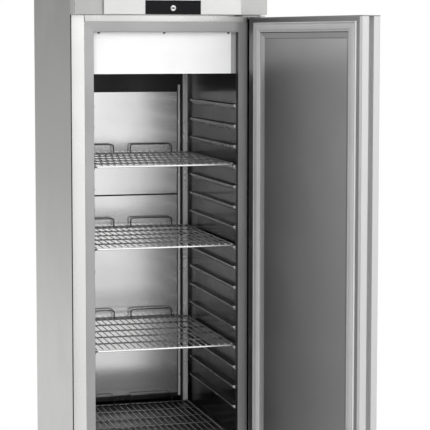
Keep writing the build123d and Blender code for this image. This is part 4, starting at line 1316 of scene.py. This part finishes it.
def stage_material(name):
    """Pale matt floor that turns as white as the background away from the object."""
    studio = bpy.context.scene.refrigerator_studio
    material = bpy.data.materials.new(name)
    material.use_nodes = True
    tree = material.node_tree
    shader = tree.nodes["Principled BSDF"]
    put(tree, shader.inputs["Base Color"], (*grey(0.90), 1.0))
    put(tree, shader.inputs["Roughness"], 0.9)
    white = add(tree, "ShaderNodeEmission")
    ray = add(tree, "ShaderNodeLightPath").outputs
    seen = maths(tree, "MAXIMUM", ray["Is Camera Ray"], ray["Is Glossy Ray"])
    seen = maths(tree, "MAXIMUM", seen, ray["Is Transmission Ray"])
    length = add(tree, "ShaderNodeVectorMath", operation="LENGTH")
    put(tree, length.inputs[0], object_place(tree))
    far = remap(tree, length.outputs["Value"], studio.fade_start, studio.fade_end, 0.0, 1.0)
    both = shader_mix(tree, maths(tree, "MULTIPLY", seen, far), shader.outputs[0], white.outputs[0])
    put(tree, tree.nodes["Material Output"].inputs["Surface"], both)
    return material


# Degrees from the front towards the right, and how bright the studio is there, level with the eye and below it
SURROUND = (
    (-180.0, 0.34), (-152.0, 0.34), (-135.0, 1.25), (-105.0, 1.25), (-85.0, 0.30), (-45.0, 0.22), (-26.0, 0.05),
    (-10.0, 0.05), (-4.0, 1.25), (30.0, 1.25), (80.0, 0.60), (120.0, 0.40), (180.0, 0.36),
)
BELOW = (
    (-180.0, 0.90), (-120.0, 0.90), (-90.0, 0.35), (-45.0, 0.22), (-26.0, 0.06), (-10.0, 0.06), (-4.0, 0.80),
    (45.0, 0.80), (80.0, 0.80), (120.0, 0.90), (180.0, 0.90),
)


def brightness_ring(tree, turn, levels):
    """How bright the studio is at a turn from 0 to 1 round the object."""
    ring = add(tree, "ShaderNodeValToRGB")
    put(tree, ring.inputs[0], turn)
    stops = ring.color_ramp.elements
    while len(stops) < len(levels):
        stops.new(0.5)
    for stop, (degrees, bright) in zip(stops, levels):
        stop.position = (degrees + 180.0) / 360.0
        stop.color = (*grey(bright), 1.0)
    return ring.outputs["Color"]


def background(tree, strength):
    node = add(tree, "ShaderNodeBackground")
    put(tree, node.inputs["Color"], (*grey(1.0), 1.0))
    put(tree, node.inputs["Strength"], strength)
    return node.outputs[0]


def world_light():
    """Even light all round. Cameras see white, and gloss sees a studio of bright and dark walls and a ceiling."""
    studio = bpy.context.scene.refrigerator_studio
    world = bpy.data.worlds.new("Studio")
    bpy.context.scene.world = world
    world.use_nodes = True
    tree = world.node_tree
    tree.nodes.clear()
    ray = add(tree, "ShaderNodeLightPath").outputs
    split = add(tree, "ShaderNodeSeparateXYZ")
    put(tree, split.inputs[0], add(tree, "ShaderNodeTexCoord").outputs["Generated"])
    x, y, z = split.outputs
    # Round the object from the front, and from just over the horizon to a little under it
    azimuth = maths(tree, "ARCTAN2", x, maths(tree, "MULTIPLY", y, -1.0))
    turn = remap(tree, azimuth, -math.pi, math.pi, 0.0, 1.0)
    low = remap(tree, z, 0.03, -0.2, 0.0, 1.0)
    gloss = mix(tree, low, brightness_ring(tree, turn, SURROUND), brightness_ring(tree, turn, BELOW))
    gloss = maths(tree, "MAXIMUM", gloss, remap(tree, z, 0.15, 0.8, 0.0, 0.7))
    shine = background(tree, maths(tree, "MULTIPLY", gloss, studio.shine_level))
    mirrored_ray = maths(tree, "MAXIMUM", ray["Is Glossy Ray"], ray["Is Transmission Ray"])
    lit = shader_mix(tree, mirrored_ray, background(tree, studio.day_level), shine)
    seen = shader_mix(tree, ray["Is Camera Ray"], lit, background(tree, 1.0))
    put(tree, add(tree, "ShaderNodeOutputWorld").inputs["Surface"], seen)


# Name, place, the point that it faces, side length, and the setting for its brightness
SOFTBOXES = (
    ("Key softbox", (2.4, -3.4, 2.6), (0.0, -0.3, 1.2), 2.6, "key_level"),
    ("Front fill", (-0.8, -4.6, 1.7), (0.0, -0.2, 1.1), 3.0, "fill_level"),
    ("Top softbox", (0.2, -1.2, 4.8), (0.0, 0.0, 0.0), 3.0, "top_level"),
)


def softbox(name, place, aim, side, brightness):
    """A square lamp of even brightness, facing a point, that cameras and gloss don't see."""
    lamp = bpy.data.lights.new(name, "AREA")
    lamp.shape = "SQUARE"
    lamp.size = side
    lamp.energy = brightness * math.pi * side * side
    holder = bpy.data.objects.new(name, lamp)
    bpy.context.scene.collection.objects.link(holder)
    holder.location = place
    holder.rotation_euler = (Vector(aim) - Vector(place)).to_track_quat("-Z", "Y").to_euler()
    holder.visible_camera = False
    holder.visible_glossy = False


def build_camera(lens):
    """The camera of the photograph: its place, and where it looks, in degrees to the right and down."""
    place, right, down = (-1.21148, -5.18509, 1.68616), 15.227, 4.858
    camera = bpy.data.cameras.new("Camera")
    camera.lens = lens
    camera.shift_x = 0.03
    camera.shift_y = -0.08
    holder = bpy.data.objects.new("Camera", camera)
    bpy.context.scene.collection.objects.link(holder)
    yaw, pitch = math.radians(right), math.radians(down)
    ahead = Vector((math.sin(yaw) * math.cos(pitch), math.cos(yaw) * math.cos(pitch), -math.sin(pitch)))
    holder.location = place
    holder.rotation_euler = ahead.to_track_quat("-Z", "Y").to_euler()
    bpy.context.scene.camera = holder


def build_stage():
    """Floor, surroundings, lamps and camera."""
    studio = bpy.context.scene.refrigerator_studio
    bpy.ops.object.select_all(action="DESELECT")
    bpy.ops.mesh.primitive_circle_add(vertices=96, radius=studio.floor_radius, fill_type="NGON")
    floor = bpy.context.object
    floor.name = "Floor"
    floor.data.materials.append(stage_material("Pale floor"))
    world_light()
    for name, place, aim, side, brightness in SOFTBOXES:
        softbox(name, place, aim, side, getattr(studio, brightness))
    bpy.context.scene.view_settings.view_transform = "Standard"
    build_camera(studio.lens)


# Operators


class REFRIGERATOR_OT_finishes(bpy.types.Operator):
    """Make the finishes and lay them on the CAD nodes"""

    bl_idname = "refrigerator.finishes"
    bl_label = "Finishes"

    def execute(self, context):
        for build in GROUPS:
            build()
        for build in (sheet_finishes, fitting_finishes, other_finishes):
            finish_of.update(build(context.scene.refrigerator_finish))
        lay_finish()
        return {"FINISHED"}


class REFRIGERATOR_OT_shell(bpy.types.Operator):
    """Form the outer sheets, the stiles, the rails, the grilles and the legs"""

    bl_idname = "refrigerator.shell"
    bl_label = "Shell"

    def execute(self, context):
        form_shell()
        return {"FINISHED"}


class REFRIGERATOR_OT_fascia(bpy.types.Operator):
    """Form the fascia, the control panel and its display window"""

    bl_idname = "refrigerator.fascia"
    bl_label = "Fascia"

    def execute(self, context):
        form_fascia()
        return {"FINISHED"}


class REFRIGERATOR_OT_interior(bpy.types.Operator):
    """Form the duct, the posts, the evaporator cover and its trims, the floor, the boxes and the tray"""

    bl_idname = "refrigerator.interior"
    bl_label = "Interior"

    def execute(self, context):
        form_interior()
        return {"FINISHED"}


class REFRIGERATOR_OT_seal_strip(bpy.types.Operator):
    """Build the grey strip round the opening"""

    bl_idname = "refrigerator.seal_strip"
    bl_label = "Seal strip"

    def execute(self, context):
        build_seal_strip()
        return {"FINISHED"}


class REFRIGERATOR_OT_ledges(bpy.types.Operator):
    """Build the pressed shelf ledges of both walls"""

    bl_idname = "refrigerator.ledges"
    bl_label = "Shelf ledges"

    def execute(self, context):
        build_ledges()
        return {"FINISHED"}


class REFRIGERATOR_OT_door(bpy.types.Operator):
    """Form the door's sheets, its grip and its end caps"""

    bl_idname = "refrigerator.door"
    bl_label = "Door"

    def execute(self, context):
        form_door()
        return {"FINISHED"}


class REFRIGERATOR_OT_gasket(bpy.types.Operator):
    """Build the door gasket and the shadow gaps of the door's recess"""

    bl_idname = "refrigerator.gasket"
    bl_label = "Gasket"

    def execute(self, context):
        build_gasket()
        build_recess_lines()
        return {"FINISHED"}


class REFRIGERATOR_OT_shelves(bpy.types.Operator):
    """Build the four wire shelves"""

    bl_idname = "refrigerator.shelves"
    bl_label = "Wire shelves"

    def execute(self, context):
        build_shelves()
        return {"FINISHED"}


class REFRIGERATOR_OT_lock(bpy.types.Operator):
    """Build the lock ring, the plug and the cam"""

    bl_idname = "refrigerator.lock"
    bl_label = "Lock"

    def execute(self, context):
        build_lock()
        return {"FINISHED"}


class REFRIGERATOR_OT_hinges(bpy.types.Operator):
    """Build the hinge brackets, pins and bushes"""

    bl_idname = "refrigerator.hinges"
    bl_label = "Hinges"

    def execute(self, context):
        build_hinges()
        return {"FINISHED"}


class REFRIGERATOR_OT_screws(bpy.types.Operator):
    """Build the screws"""

    bl_idname = "refrigerator.screws"
    bl_label = "Screws"

    def execute(self, context):
        build_screws()
        return {"FINISHED"}


class REFRIGERATOR_OT_feet(bpy.types.Operator):
    """Build the four levelling feet"""

    bl_idname = "refrigerator.feet"
    bl_label = "Levelling feet"

    def execute(self, context):
        build_feet()
        return {"FINISHED"}


class REFRIGERATOR_OT_fans(bpy.types.Operator):
    """Build the two fan rotors"""

    bl_idname = "refrigerator.fans"
    bl_label = "Fans"

    def execute(self, context):
        build_fans()
        return {"FINISHED"}


class REFRIGERATOR_OT_compressor(bpy.types.Operator):
    """Build the compressor"""

    bl_idname = "refrigerator.compressor"
    bl_label = "Compressor"

    def execute(self, context):
        build_compressor()
        return {"FINISHED"}


class REFRIGERATOR_OT_stage(bpy.types.Operator):
    """Build the floor, the lamps, the surroundings and the camera"""

    bl_idname = "refrigerator.stage"
    bl_label = "Studio"

    def execute(self, context):
        build_stage()
        return {"FINISHED"}


class REFRIGERATOR_PT_panel(bpy.types.Panel):
    """Sizes, colours and steps of the refrigerator"""

    bl_label = "Refrigerator"
    bl_space_type = "VIEW_3D"
    bl_region_type = "UI"
    bl_category = "Refrigerator"

    def draw(self, context):
        for name, group in SETTINGS.items():
            box = self.layout.box()
            for key in group.__annotations__:
                box.prop(getattr(context.scene, name), key)
        for step in STEPS:
            self.layout.operator(step.bl_idname)


SETTINGS = {
    "refrigerator_finish": FinishSettings,
    "refrigerator_shape": ShapeSettings,
    "refrigerator_studio": StudioSettings,
}
STEPS = (
    REFRIGERATOR_OT_finishes,
    REFRIGERATOR_OT_shell,
    REFRIGERATOR_OT_fascia,
    REFRIGERATOR_OT_interior,
    REFRIGERATOR_OT_seal_strip,
    REFRIGERATOR_OT_ledges,
    REFRIGERATOR_OT_door,
    REFRIGERATOR_OT_gasket,
    REFRIGERATOR_OT_shelves,
    REFRIGERATOR_OT_lock,
    REFRIGERATOR_OT_hinges,
    REFRIGERATOR_OT_screws,
    REFRIGERATOR_OT_feet,
    REFRIGERATOR_OT_fans,
    REFRIGERATOR_OT_compressor,
    REFRIGERATOR_OT_stage,
)


def register():
    for key, group in SETTINGS.items():
        bpy.utils.register_class(group)
        setattr(bpy.types.Scene, key, PointerProperty(type=group))
    for step in STEPS:
        bpy.utils.register_class(step)
    bpy.utils.register_class(REFRIGERATOR_PT_panel)


def unregister():
    bpy.utils.unregister_class(REFRIGERATOR_PT_panel)
    for step in reversed(STEPS):
        bpy.utils.unregister_class(step)
    for key, group in SETTINGS.items():
        delattr(bpy.types.Scene, key)
        bpy.utils.unregister_class(group)


def main():
    register()
    for step in STEPS:
        area, call = step.bl_idname.split(".")
        getattr(getattr(bpy.ops, area), call)()


if __name__ == "__main__":
    main()
